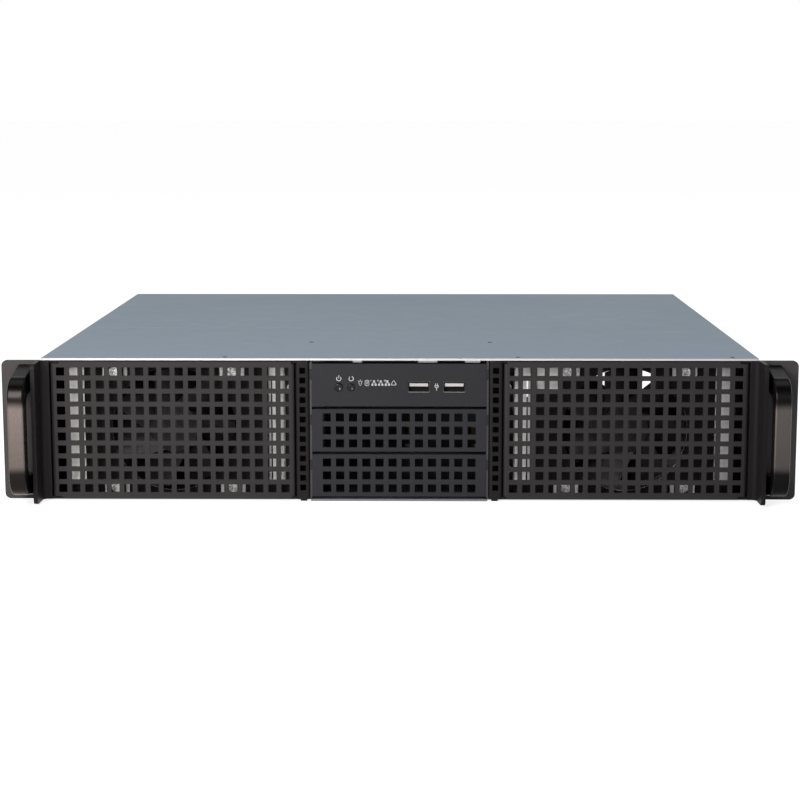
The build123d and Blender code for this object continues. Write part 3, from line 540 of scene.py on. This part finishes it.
def addPiece(name, shapes, chosen, body="root", stands=(), smooth=35):
    # one mesh from several (points, faces) shapes, doubles merged and normals turned outwards
    points, faces, start = [], [], 0
    for spots, sides in shapes:
        points.append(np.asarray(spots, dtype=float).reshape(-1, 3))
        faces += [[int(i) + start for i in side] for side in sides]
        start += len(points[-1])
    mesh = bpy.data.meshes.new(name)
    mesh.from_pydata(np.concatenate(points).tolist(), [], faces)
    shape = bmesh.new()
    shape.from_mesh(mesh)
    bmesh.ops.remove_doubles(shape, verts=shape.verts, dist=weld["merge"])
    bmesh.ops.dissolve_degenerate(shape, edges=shape.edges, dist=weld["collapse"])
    bmesh.ops.recalc_face_normals(shape, faces=shape.faces)
    shape.to_mesh(mesh)
    shape.free()
    mesh.materials.append(finish[chosen])
    mesh.shade_smooth()
    mesh.set_sharp_from_angle(angle=math.radians(smooth))
    piece = bpy.data.objects.new(name, mesh)
    bpy.context.scene.collection.objects.link(piece)
    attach(piece, body)
    if stands:
        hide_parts(*stands)


def nodePoints(name):
    mesh = nodes[name].data
    spots = np.empty(len(mesh.vertices) * 3)
    mesh.vertices.foreach_get("co", spots)
    return spots.reshape(-1, 3)


def separateBoxes(name):
    # the box of each solid in a node: every corner takes the least label on its triangles
    # until none changes
    mesh, spots = nodes[name].data, nodePoints(name)
    rounded = np.round(spots / (0.001 * mm)).astype(int)
    same = np.unique(rounded, axis=0, return_inverse=True)[1].reshape(-1)
    corners = np.empty(len(mesh.loops), dtype=int)
    mesh.loops.foreach_get("vertex_index", corners)
    sides = same[corners].reshape(-1, 3)
    label, before = np.arange(same.max() + 1), None
    while before is None or (label != before).any():
        before, label = label, label.copy()
        np.minimum.at(label, sides.ravel(), np.repeat(before[sides].min(1), 3))
        label = label[label]
    own = label[same]
    return [(spots[own == key].min(0), spots[own == key].max(0)) for key in np.unique(own)]


def pieceName(node):
    words = node.split("_")
    return words[0] + "".join(word.capitalize() for word in words[1:])


crossCut = {  # lengths are in head radii, fades fall from 1 to 0 over an arm's end and flank
    "depth": 1.2 * mm,
    "halfWidth": 0.17,
    "reach": 0.66,
    "endFade": (2.2, 2.0),
    "flankFade": (2.0, 1.4),
}


def turned(profile, sides, centre, outward, recess=None, ripple=None):
    # a profile of (radius, height) pairs turned round an axis:
    # point = centre + r(u) (cos v, sin v) + h(u) n, with a cross cut into the first rows
    # or a knurl on some rows that shifts h or r by a function of r and v
    profile = np.asarray(profile)
    angle = np.linspace(0, 2 * np.pi, sides, endpoint=False)
    radius, turn = np.meshgrid(profile[:, 0], angle, indexing="ij")
    height = np.repeat(profile[:, 1:2], sides, axis=1)
    if recess:
        count, size = recess
        x, y = np.abs(radius * np.cos(turn)), np.abs(radius * np.sin(turn))
        out = np.maximum(x, y) / (size * crossCut["reach"])
        aside = np.minimum(x, y) / (size * crossCut["halfWidth"])
        (endAt, endFall), (flankAt, flankFall) = crossCut["endFade"], crossCut["flankFade"]
        cut = np.clip(endAt - endFall * out, 0, 1) * np.clip(flankAt - flankFall * aside, 0, 1)
        cut[count:] = 0
        height = height - crossCut["depth"] * cut
    if ripple:
        rows, teeth, depth = ripple
        radius[rows] = radius[rows] - depth * (0.5 + 0.5 * np.cos(teeth * turn[rows]))
    outward = np.asarray(outward, dtype=float)
    side = np.cross(outward, (0.0, 0.0, 1.0) if abs(outward[2]) < 0.5 else (0.0, 1.0, 0.0))
    other = np.cross(outward, side)
    spots = (
        np.asarray(centre)
        + (radius * np.cos(turn))[..., None] * side
        + (radius * np.sin(turn))[..., None] * other
        + height[..., None] * outward
    )
    return spots, wrapFaces(len(profile), sides)


fasteners = {  # node: axis and sign of the way out, head height and shank radius in mm, finish
    "fan_screws_left": {"out": (1, -1), "head": 1.6, "shank": 2.1, "finish": "screw"},
    "fan_screws_right": {"out": (1, -1), "head": 1.6, "shank": 2.1, "finish": "screw"},
    "ear_screws_left": {"out": (0, -1), "head": 1.8, "shank": 1.6, "finish": "nickel"},
    "ear_screws_right": {"out": (0, 1), "head": 1.8, "shank": 1.6, "finish": "nickel"},
    "handle_screws_left": {"out": (1, 1), "head": 2.2, "shank": 2.4, "finish": "nickel"},
    "handle_screws_right": {"out": (1, 1), "head": 2.2, "shank": 2.4, "finish": "nickel"},
    "blank_screws": {"out": (2, 1), "head": 1.8, "shank": 1.6, "finish": "nickel"},
}
screwShape = {  # shares of the head's radius, the head's height or the shank
    "sides": 96,
    "rings": 18,
    "dome": 0.86,
    "domeFall": 0.28,
    "domeCurve": 2.2,
    "rimSteps": 5,
    "rimStart": 0.25,
    "rimFoot": 0.35,
    "under": 0.97,
    "taper": 0.9,
    "tip": 0.6,
}


def makeFastener(node, spec):
    # each screw: a dome that falls with a power of the radius, with a cross recess,
    # a quarter ellipse as its rim, and a straight shank with a tapered tip
    shapes, share = [], screwShape
    axis, sign = spec["out"]
    head, shank = spec["head"] * mm, spec["shank"] * mm
    outward = np.zeros(3)
    outward[axis] = sign
    for low, high in separateBoxes(node):
        centre = (low + high) / 2
        radius = max((high - low)[other] for other in range(3) if other != axis) / 2
        length = (high - low)[axis] - head
        centre[axis] = (high[axis] if sign > 0 else low[axis]) - sign * head
        dome = [
            (radius * share["dome"] * t, head * (1 - share["domeFall"] * t ** share["domeCurve"]))
            for t in np.linspace(0, 1, share["rings"])
        ]
        rim = []
        for t in np.linspace(share["rimStart"], 1, share["rimSteps"]) * np.pi / 2:
            out = share["dome"] + (1 - share["dome"]) * math.sin(t)
            up = share["rimFoot"] + (1 - share["rimFoot"]) * math.cos(t)
            rim.append((radius * out, head * (1 - share["domeFall"]) * up))
        under = [(radius * share["under"], 0), (shank, 0), (shank, -length * share["taper"])]
        under += [(shank * share["tip"], -length), (0, -length)]
        profile = dome + rim + under
        shapes.append(turned(profile, share["sides"], centre, outward, recess=(len(dome), radius)))
    addPiece(pieceName(node), shapes, spec["finish"], stands=[node])


for node, spec in fasteners.items():
    makeFastener(node, spec)

thumb = {
    "teeth": 32,
    "tooth": 0.35 * mm,
    "sides": 192,
    "shank": 1.6 * mm,
    "chamfer": 0.6 * mm,
    "hollow": 0.4 * mm,
    "hollowFloor": 0.55,
    "hollowRim": 0.62,
}


def makeThumbscrews():
    # heads with a chamfer at both ends and a shallow turned hollow in the face;
    # the knurl is a cosine wave of the radius round the axis
    shapes, seat, chamfer = [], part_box("rear_panel")[1].y, thumb["chamfer"]
    for low, high in separateBoxes("thumbscrews"):
        radius, centre = (high[2] - low[2]) / 2, (low + high) / 2
        height, length = high[1] - seat, seat - low[1]
        centre[1] = seat
        profile = [
            (0, height - thumb["hollow"]),
            (radius * thumb["hollowFloor"], height - thumb["hollow"]),
            (radius * thumb["hollowRim"], height),
            (radius - chamfer, height),
            (radius, height - chamfer),
            (radius, height / 2),
            (radius, chamfer),
            (radius - chamfer, 0),
            (thumb["shank"], 0),
            (thumb["shank"], -length),
            (0, -length),
        ]
        knurl = (slice(4, 7), thumb["teeth"], thumb["tooth"])  # the rows at full radius
        shapes.append(turned(profile, thumb["sides"], centre, (0, 1, 0), ripple=knurl))
    addPiece("thumbScrews", shapes, "nickel", stands=["thumbscrews"], smooth=25)


makeThumbscrews()
print("screws cut")

rivets = {  # places in mm from the middle and from the front edge of the lid
    "places": ((-57.5, 80), (57.5, 80), (-106, 6.5), (72, 6.5), (202, 6.5)),
    "radius": 1.5 * mm,
    "height": 0.35 * mm,
    "depth": 0.6 * mm,
    "steps": 7,
    "sides": 24,
}


def makeRivets():
    # low rivets in the lid: radius r sin t and height h cos t, with the root in the sheet
    radius, depth = rivets["radius"], rivets["depth"]
    lidFront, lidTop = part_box("top_plate")[0].y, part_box("top_plate")[1].z
    bend = np.linspace(0, math.pi / 2, rivets["steps"])
    profile = [(radius * math.sin(t), rivets["height"] * math.cos(t)) for t in bend]
    profile += [(radius, -depth), (0, -depth)]
    centres = [(x * mm, lidFront + y * mm, lidTop) for x, y in rivets["places"]]
    shapes = [turned(profile, rivets["sides"], centre, (0, 0, 1)) for centre in centres]
    # the rivets take the same dark zinc: painted shade round the lid's screws
    addPiece("lidRivets", shapes, "shadedZinc")


makeRivets()

key = {
    "sides": 64,
    "dish": 0.55 * mm,
    "dishSteps": 9,
    "rim": 0.5 * mm,
    "rimSteps": 6,
    "faceDepth": 0.5 * mm,
    "collarMargin": 0.2 * mm,
    "stem": 0.7,
}


def makeKey(node, body):
    # a round key: a dish as deep as the squared cosine of the radius, a quarter circle as rim,
    # and the collar that holds it behind the panel
    low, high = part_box(node)
    spots = nodePoints(node)
    face = spots[spots[:, 1] < low.y + key["faceDepth"]]
    radius = (face[:, 0].max() - face[:, 0].min()) / 2
    centre = np.array([(low.x + high.x) / 2, low.y, (low.z + high.z) / 2])
    collar, rim, end = (high.x - low.x) / 2, key["rim"], high.y - low.y
    off = np.hypot(spots[:, 0] - centre[0], spots[:, 2] - centre[2])
    wide = spots[off > radius + key["collarMargin"]][:, 1] - low.y
    inner, stem = radius - rim, radius * key["stem"]
    profile = [
        (inner * t, -key["dish"] * math.cos(t * math.pi / 2) ** 2)
        for t in np.linspace(0, 1, key["dishSteps"])
    ]
    for t in np.linspace(0, math.pi / 2, key["rimSteps"])[1:]:
        profile.append((inner + rim * math.sin(t), -rim + rim * math.cos(t)))
    profile += [(radius, -wide.min()), (collar, -wide.min()), (collar, -wide.max())]
    profile += [(stem, -wide.max()), (stem, -end), (0, -end)]
    shape = turned(profile, key["sides"], centre, (0, -1, 0))
    name = pieceName(node) + "Dished"
    addPiece(name, [shape], "button", body, [node], smooth=50)


makeKey("power_button", bodyOf["power_button"])
makeKey("reset_button", bodyOf["reset_button"])
print("keys turned")

marks = {  # heights of the rows, and the widths of the strokes
    "rise": 0.05 * mm,
    "sink": 0.1 * mm,
    "miter": 0.4,
    "keyZ": 75.7 * mm,
    "lampZ": 73.1 * mm,
    "line": 0.42 * mm,
    "outline": 0.378 * mm,
    "thin": 0.336 * mm,
    "spindle": 0.5376 * mm,
    "tick": 0.231 * mm,
    "square": 1.1 * mm,
}


def arc(x, z, radius, start, end, count=20, tall=1.0):
    # the points (x + r cos t, z + tall r sin t) from one angle in degrees to the other
    turn = np.radians(np.linspace(start, end, count))
    return np.stack((x + radius * np.cos(turn), z + tall * radius * np.sin(turn)), 1)


def roundTriangle(low, reach, bend):
    # three arcs about the corners of a triangle whose middle is lowered a little
    arcs = []
    for start in (90, 210, 330):
        x, z = reach * math.cos(math.radians(start)), reach * math.sin(math.radians(start))
        arcs.append(arc(x, low + z, bend, start - 60, start + 60, 7))
    return np.concatenate(arcs)


pictograms = {  # for each stroke its width and its points in mm from the mark's middle, and closed or not
    "power": [("line", arc(0, 0, 1.35, -230, 50)), ("line", [(0, 0.1), (0, 2.0)])],
    "reset": [("line", arc(0, 0, 1.35, -235, 75))],
    "bulb": [
        ("thin", arc(0, 0, 0.85, -60, 240, tall=1.25)),
        ("thin", [(-0.45, -1.45), (0.45, -1.45)]),
        ("thin", [(-1.0, 1.0), (-1.4, 1.35)]),
        ("thin", [(0, 1.5), (0, 2.05)]),
        ("thin", [(1.0, 1.0), (1.4, 1.35)]),
    ],
    "disk": [
        ("thin", arc(0, 1.1, 1.15, 0, 342, 20, 0.45), True),
        ("thin", [(-1.15, 1.1), *arc(0, -1.1, 1.15, 180, 360, 12, 0.5), (1.15, 1.1)]),
        ("spindle", [(0, -0.9), (0, 0.2)]),
    ],
    "branch": [
        ("square", [(-0.35, 1.05), (0.85, 1.05)]),
        ("square", [(-1.35, -1.15), (-0.15, -1.15)]),
        ("square", [(0.65, -1.15), (1.85, -1.15)]),
        ("thin", [(-0.75, -0.7), (-0.75, 0), (1.25, 0), (1.25, -0.7)]),
        ("thin", [(0.25, 0), (0.25, 0.8)]),
    ],
    "tick1": [("tick", [(-1.7, 0.9), (-1.7, 1.9)])],
    "tick2": [("tick", [(-1.25, 0.9), (-1.25, 1.9)])],
    "tick3": [("tick", [(-0.8, 0.9), (-0.8, 1.9)])],
    "triangle": [("outline", roundTriangle(-0.25, 1.116, 0.45), True)],
    "plug": [
        ("line", [(-0.6, 1.0), (-0.6, 2.1)]),
        ("line", [(0.6, 1.0), (0.6, 2.1)]),
        ("line", [(-1.2, 0.75), (1.2, 0.75)]),
        ("line", arc(0, 0.6, 1.05, 180, 360, 14)),
        ("line", [(0, -0.4), (0, -2.2)]),
    ],
}
lampRow = (  # what stands above each lamp, from the left
    ("bulb",),
    ("disk",),
    ("branch", "tick1"),
    ("branch", "tick1", "tick2"),
    ("branch", "tick1", "tick2", "tick3"),
    ("triangle",),
)


def ribbon(path, width, closed=False):
    # a flat stroke: the path's points shifted half a width to each side along the mean normal,
    # with four corners at each
    ahead = np.roll(path, -1, 0) - path
    behind = path - np.roll(path, 1, 0)
    if not closed:
        ahead[-1], behind[0] = behind[-1], ahead[0]
    ahead /= np.linalg.norm(ahead, axis=1)[:, None]
    behind /= np.linalg.norm(behind, axis=1)[:, None]
    tangent = ahead + behind
    tangent /= np.linalg.norm(tangent, axis=1)[:, None]
    normal = np.stack((-tangent[:, 1], tangent[:, 0]), 1)
    lean = (normal * np.stack((-ahead[:, 1], ahead[:, 0]), 1)).sum(1)
    shift = normal * (width / 2 / np.maximum(marks["miter"], lean))[:, None]
    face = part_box("io_panel")[0].y
    front, back = face - marks["rise"], face + marks["sink"]
    corners = [(path - shift, front), (path + shift, front), (path + shift, back), (path - shift, back)]
    rows = [np.stack((flat[:, 0], np.full(len(flat), depth), flat[:, 1]), 1) for flat, depth in corners]
    spots = np.stack(rows, 1)
    if closed:
        spots = np.concatenate((spots, spots[:1]))
    faces = wrapFaces(len(spots), 4).tolist()
    if not closed:
        last = (len(spots) - 1) * 4
        faces += [[0, 1, 2, 3], [last + 3, last + 2, last + 1, last]]
    return spots, faces


def drawMark(name, x, z):
    # the strokes of one pictogram about a place on the panel
    strokes = []
    for width, points, *closed in pictograms[name]:
        strokes.append(ribbon(np.asarray(points) * mm + (x, z), marks[width], *closed))
    return strokes


def makeMarks():
    # printed pictograms over the keys and lamps, and a plain plug between the two ports
    strokes = []
    for name in ("power", "reset"):
        low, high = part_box(name + "_button")
        strokes += drawMark(name, (low.x + high.x) / 2, marks["keyZ"])
    lamps = sorted((low[0] + high[0]) / 2 for low, high in separateBoxes("status_lamps"))
    for x, names in zip(lamps, lampRow):
        for name in names:
            strokes += drawMark(name, x, marks["lampZ"])
    middle = np.mean([(low + high) / 2 for low, high in separateBoxes("usb_shells")], axis=0)
    strokes += drawMark("plug", middle[0], middle[2])
    addPiece("panelMarks", strokes, "mark")


makeMarks()
print("marks printed")

port = {
    "wall": 0.28 * mm,
    "corner": 0.5 * mm,
    "flare": 0.1 * mm,
    "leastCorner": 0.15 * mm,
    "core": 5.0 * mm,
    "coreCorner": 0.2 * mm,
    "cornerSteps": 6,
}


def roundedRing(x, z, halfX, halfZ, corner, y):
    # a rounded rectangle in the panel's plane: a quarter circle about each corner's centre,
    # which lies at x +- (halfX - corner) and z +- (halfZ - corner)
    steps = port["cornerSteps"]
    quarters = [np.linspace(q, q + 90, steps) for q in (0, 90, 180, 270)]
    turn = np.radians(np.concatenate(quarters))
    towardX = np.repeat([1, -1, -1, 1], steps)
    towardZ = np.repeat([1, 1, -1, -1], steps)
    px = x + towardX * (halfX - corner) + corner * np.cos(turn)
    pz = z + towardZ * (halfZ - corner) + corner * np.sin(turn)
    return np.stack((px, np.full(len(px), y), pz), 1)


def makePorts():
    # each shell is one sheet folded to a tube: rounded rectangles that step forwards, inwards
    # round a chamfered mouth, and back; the core fills its back
    shells, cores = [], []
    wall, flare = port["wall"], port["flare"]
    for low, high in separateBoxes("usb_shells"):
        x, z = (low[0] + high[0]) / 2, (low[2] + high[2]) / 2
        halfX, halfZ = (high[0] - low[0]) / 2, (high[2] - low[2]) / 2
        mouth, back = low[1], high[1]
        folds = [(0.0, back), (0.0, mouth + flare), (flare, mouth), (wall - flare, mouth)]
        folds += [(wall, mouth + flare), (wall, back - wall)]
        rings = []
        for inset, y in folds:
            corner = max(port["corner"] - inset, port["leastCorner"])
            rings.append(roundedRing(x, z, halfX - inset, halfZ - inset, corner, y))
        shells.append(tube(rings))
        inner = (x, z, halfX - wall, halfZ - wall, port["coreCorner"])
        cores.append(tube([roundedRing(*inner, y) for y in (mouth + port["core"], back - wall)]))
    addPiece("portShells", shells, "port", stands=["usb_shells"], smooth=40)
    addPiece("portCores", cores, "core")


makePorts()
print("ports folded")

baffle = {
    "inner": 54.8 * mm,
    "outer": 69.1 * mm,
    "front": 13 * mm,
    "back": 26 * mm,
    "thickness": 0.8 * mm,
    "low": 1.4 * mm,
    "high": 85.0 * mm,
}


def makeBaffles():
    # a black angle behind each perforated strip, from the drive cage to the fan wall:
    # its outline seen from above, carried straight up
    thick, inner, outer = baffle["thickness"], baffle["inner"], baffle["outer"]
    front, back = frontY + baffle["front"], frontY + baffle["back"]
    outline = [(inner, back), (inner, front), (outer, front), (outer, front + thick)]
    outline += [(inner + thick, front + thick), (inner + thick, back)]
    for side, label in ((-1, "Left"), (1, "Right")):
        rings = [[(side * x, y, level) for x, y in outline] for level in (baffle["low"], baffle["high"])]
        addPiece("stripBaffle" + label, [tube(rings)], "bracket")


makeBaffles()

shield = {
    "middle": (-27.0 * mm, 27.6 * mm),
    "size": (161.0 * mm, 46.6 * mm),
    "thickness": 0.5 * mm,
    "emboss": 0.5 * mm,
    "inset": 1.2 * mm,
    "rim": 1.6 * mm,
    "ramp": 1.2 * mm,
    "cells": 7,
    "pad": (0.36, 0.3),
    "groove": 0.6 * mm,
    "grooveShare": 0.5,
    "columns": 170,
    "rows": 56,
}


def makeShield():
    # the blank in the connector opening: a raised field with a shallow groove round each pad,
    # y = emboss * (raised - groove), with the sheet's thickness behind it
    centre, size = shield["middle"], shield["size"]
    columns, rows = shield["columns"], shield["rows"]
    u, v = np.meshgrid(np.linspace(-0.5, 0.5, columns), np.linspace(-0.5, 0.5, rows))
    x, z = u * size[0], v * size[1]
    inside = np.minimum(size[0] / 2 - np.abs(x), size[1] / 2 - np.abs(z))
    raised = np.clip((inside - shield["rim"]) / shield["ramp"], 0, 1)
    cell = size[0] / shield["cells"]
    across = np.abs((x + size[0] / 2) % cell - cell / 2)
    pad = np.minimum(cell * shield["pad"][0] - across, size[1] * shield["pad"][1] - np.abs(z))
    sunk = np.clip(1 - np.abs(pad) / shield["groove"], 0, 1)
    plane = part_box("rear_panel")[1].y - shield["inset"] - shield["thickness"]
    y = plane + shield["emboss"] * (raised - shield["grooveShare"] * sunk)
    front = np.stack((centre[0] + x, y, centre[1] + z), -1)
    back = front + np.array([0, shield["thickness"], 0])
    count = rows * columns
    index = np.arange(count).reshape(rows, columns)
    loop = np.concatenate((index[0], index[1:, -1], index[-1, -2::-1], index[-2:0:-1, 0]))
    after = np.roll(loop, -1)
    sheet = wrapFaces(rows, columns, closed=False)
    wall = np.stack((loop, after, after + count, loop + count), 1)
    faces = np.concatenate((sheet, sheet[:, ::-1] + count, wall)).tolist()
    shape = (np.stack((front, back)), faces)
    addPiece("connectorBlank", [shape], "zincPlain", smooth=50)


makeShield()
print("baffles and connector blank folded")

edge = {
    "width": 0.22 * mm,
    "segments": 2,
    "angle": 32,
    "flat": 1.0,
    "merge": 2e-6,
    "nodes": (
        "ear_left",
        "ear_right",
        "front_frame_left",
        "front_frame_right",
        "grille_door_left",
        "grille_door_right",
        "io_panel",
        "bay_cover_middle",
        "bay_cover_lower",
    ),
}


def softenEdges(node):
    # a copy of a node whose sheet edges are broken by a small bevel
    copy = bpy.data.objects.new(pieceName(node) + "Soft", nodes[node].data.copy())
    shape = bmesh.new()
    shape.from_mesh(copy.data)
    bmesh.ops.remove_doubles(shape, verts=shape.verts, dist=edge["merge"])
    flat, sharp = math.radians(edge["flat"]), math.radians(edge["angle"])
    bmesh.ops.dissolve_limit(shape, angle_limit=flat, verts=shape.verts, edges=shape.edges)
    shape.to_mesh(copy.data)
    shape.free()
    copy.data.shade_smooth()
    copy.data.set_sharp_from_angle(angle=sharp)
    bpy.context.scene.collection.objects.link(copy)
    bevel = copy.modifiers.new("brokenEdge", "BEVEL")
    bevel.width, bevel.segments = edge["width"], edge["segments"]
    bevel.limit_method, bevel.angle_limit = "ANGLE", sharp
    bevel.harden_normals = bevel.use_clamp_overlap = True
    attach(copy, bodyOf[node])
    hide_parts(node)


for node in edge["nodes"]:
    softenEdges(node)
print("sheet edges broken")

# Stage: a white floor and sky, three soft boxes, and reflections that dim to the right of the case
studio = {
    "floorSize": 60.0,
    "floorColour": (0.55, 0.55, 0.55),
    "floorShown": 0.80,
    "warmSide": (1.40, 1.20, 1.12),  # what a gloss sees to the left in front of the case
    "coolSide": (0.22, 0.24, 0.25),  # and to the right
    "spread": 0.24,
    "aheadBand": (-0.2, -0.6),
    "levelBand": (0.35, 0.1),
    "overheadBand": (0.2, 0.8),
    "overhead": 0.15,  # how much of the white a reflection sees straight up
    "ambient": 0.34,
    "aim": (0.0, -0.1, 0.05),
    "lamps": {
        "leftBox": {
            "place": (-0.38, -0.95, 0.42),
            "size": (0.45, 0.45),
            "watts": 8.6,
            "colour": (1.0, 0.95, 0.925),
        },
        "rightBox": {
            "place": (0.95, -1.40, 0.42),
            "size": (0.5, 0.5),
            "watts": 2.6,
            "colour": (0.92, 0.99, 1.0),
        },
        "topBox": {
            "place": (0.0, 0.1, 2.2),
            "size": (1.8, 1.4),
            "watts": 12,
            "colour": (0.95, 0.98, 1.0),
        },
    },
}


def seenRays(tree):
    # 1 for a ray from the camera, off a gloss or through glass
    kinds = ("Is Camera Ray", "Is Glossy Ray", "Is Transmission Ray")
    rays = [tree.node("LightPath", output=kind) for kind in kinds]
    return (rays[0] + rays[1] + rays[2]) > 0.5


def sideTone(tree, side, ahead):
    # white, but to a gloss in front of the case warm and bright at the left, cool and dim at the right
    across = tree.share(side, -studio["spread"], studio["spread"])
    tone = tree.between(across, studio["warmSide"], studio["coolSide"])
    glossy = tree.node("LightPath", output="Is Glossy Ray")
    return tree.between(glossy * ahead, (1.0, 1.0, 1.0), tone)


def setWorld():
    # white where the camera or a reflection sees it, a dimmer even light elsewhere
    world = bpy.data.worlds.new("studioWorld")
    bpy.context.scene.world = world
    world.use_nodes = True
    sky = Nodes(world.node_tree)
    side, away, rise = sky.split(sky.node("TexCoord", output="Generated"))
    ahead = sky.share(away, *studio["aheadBand"]) * sky.share(rise, *studio["levelBand"])
    upward = sky.share(rise, *studio["overheadBand"])
    white = 1 - sky.node("LightPath", output="Is Glossy Ray") * upward * (1 - studio["overhead"])
    seen = seenRays(sky)
    strength = seen * white + (1 - seen) * studio["ambient"]
    shown = sky.node("Background", {}, {"Color": sideTone(sky, side, ahead), "Strength": strength})
    output = sky.tree.nodes.new("ShaderNodeOutputWorld")
    sky.tree.links.new(shown.socket, output.inputs[0])


def setFloor():
    half = studio["floorSize"] / 2
    mesh = bpy.data.meshes.new("studioFloor")
    corners = [(-half, -half, 0), (half, -half, 0), (half, half, 0), (-half, half, 0)]
    mesh.from_pydata(corners, [], [(0, 1, 2, 3)])
    floor = bpy.data.objects.new("studioFloor", mesh)
    bpy.context.scene.collection.objects.link(floor)
    paint = Paint("floorPaint", Base_Color=studio["floorColour"], Roughness=0.9, Specular_IOR_Level=0.0)
    x, y = paint.along()[:2]
    shown = sideTone(paint, x, y < frontY)
    paint.feed(Emission_Color=paint.between(seenRays(paint), (0.0, 0.0, 0.0), shown))
    paint.feed(Emission_Strength=studio["floorShown"])
    mesh.materials.append(paint.material)


def setLamps():
    aim = Vector(studio["aim"])
    for name, lamp in studio["lamps"].items():
        data = bpy.data.lights.new(name, "AREA")
        data.shape, data.size, data.size_y = "RECTANGLE", *lamp["size"]
        data.energy, data.color = lamp["watts"], lamp["colour"]
        box = bpy.data.objects.new(name, data)
        box.location = lamp["place"]
        box.rotation_euler = (aim - box.location).to_track_quat("-Z", "Y").to_euler()
        box.visible_camera = False
        bpy.context.scene.collection.objects.link(box)


setWorld()
setFloor()
setLamps()
bpy.context.scene.view_settings.view_transform = "Standard"
print("stage lit")
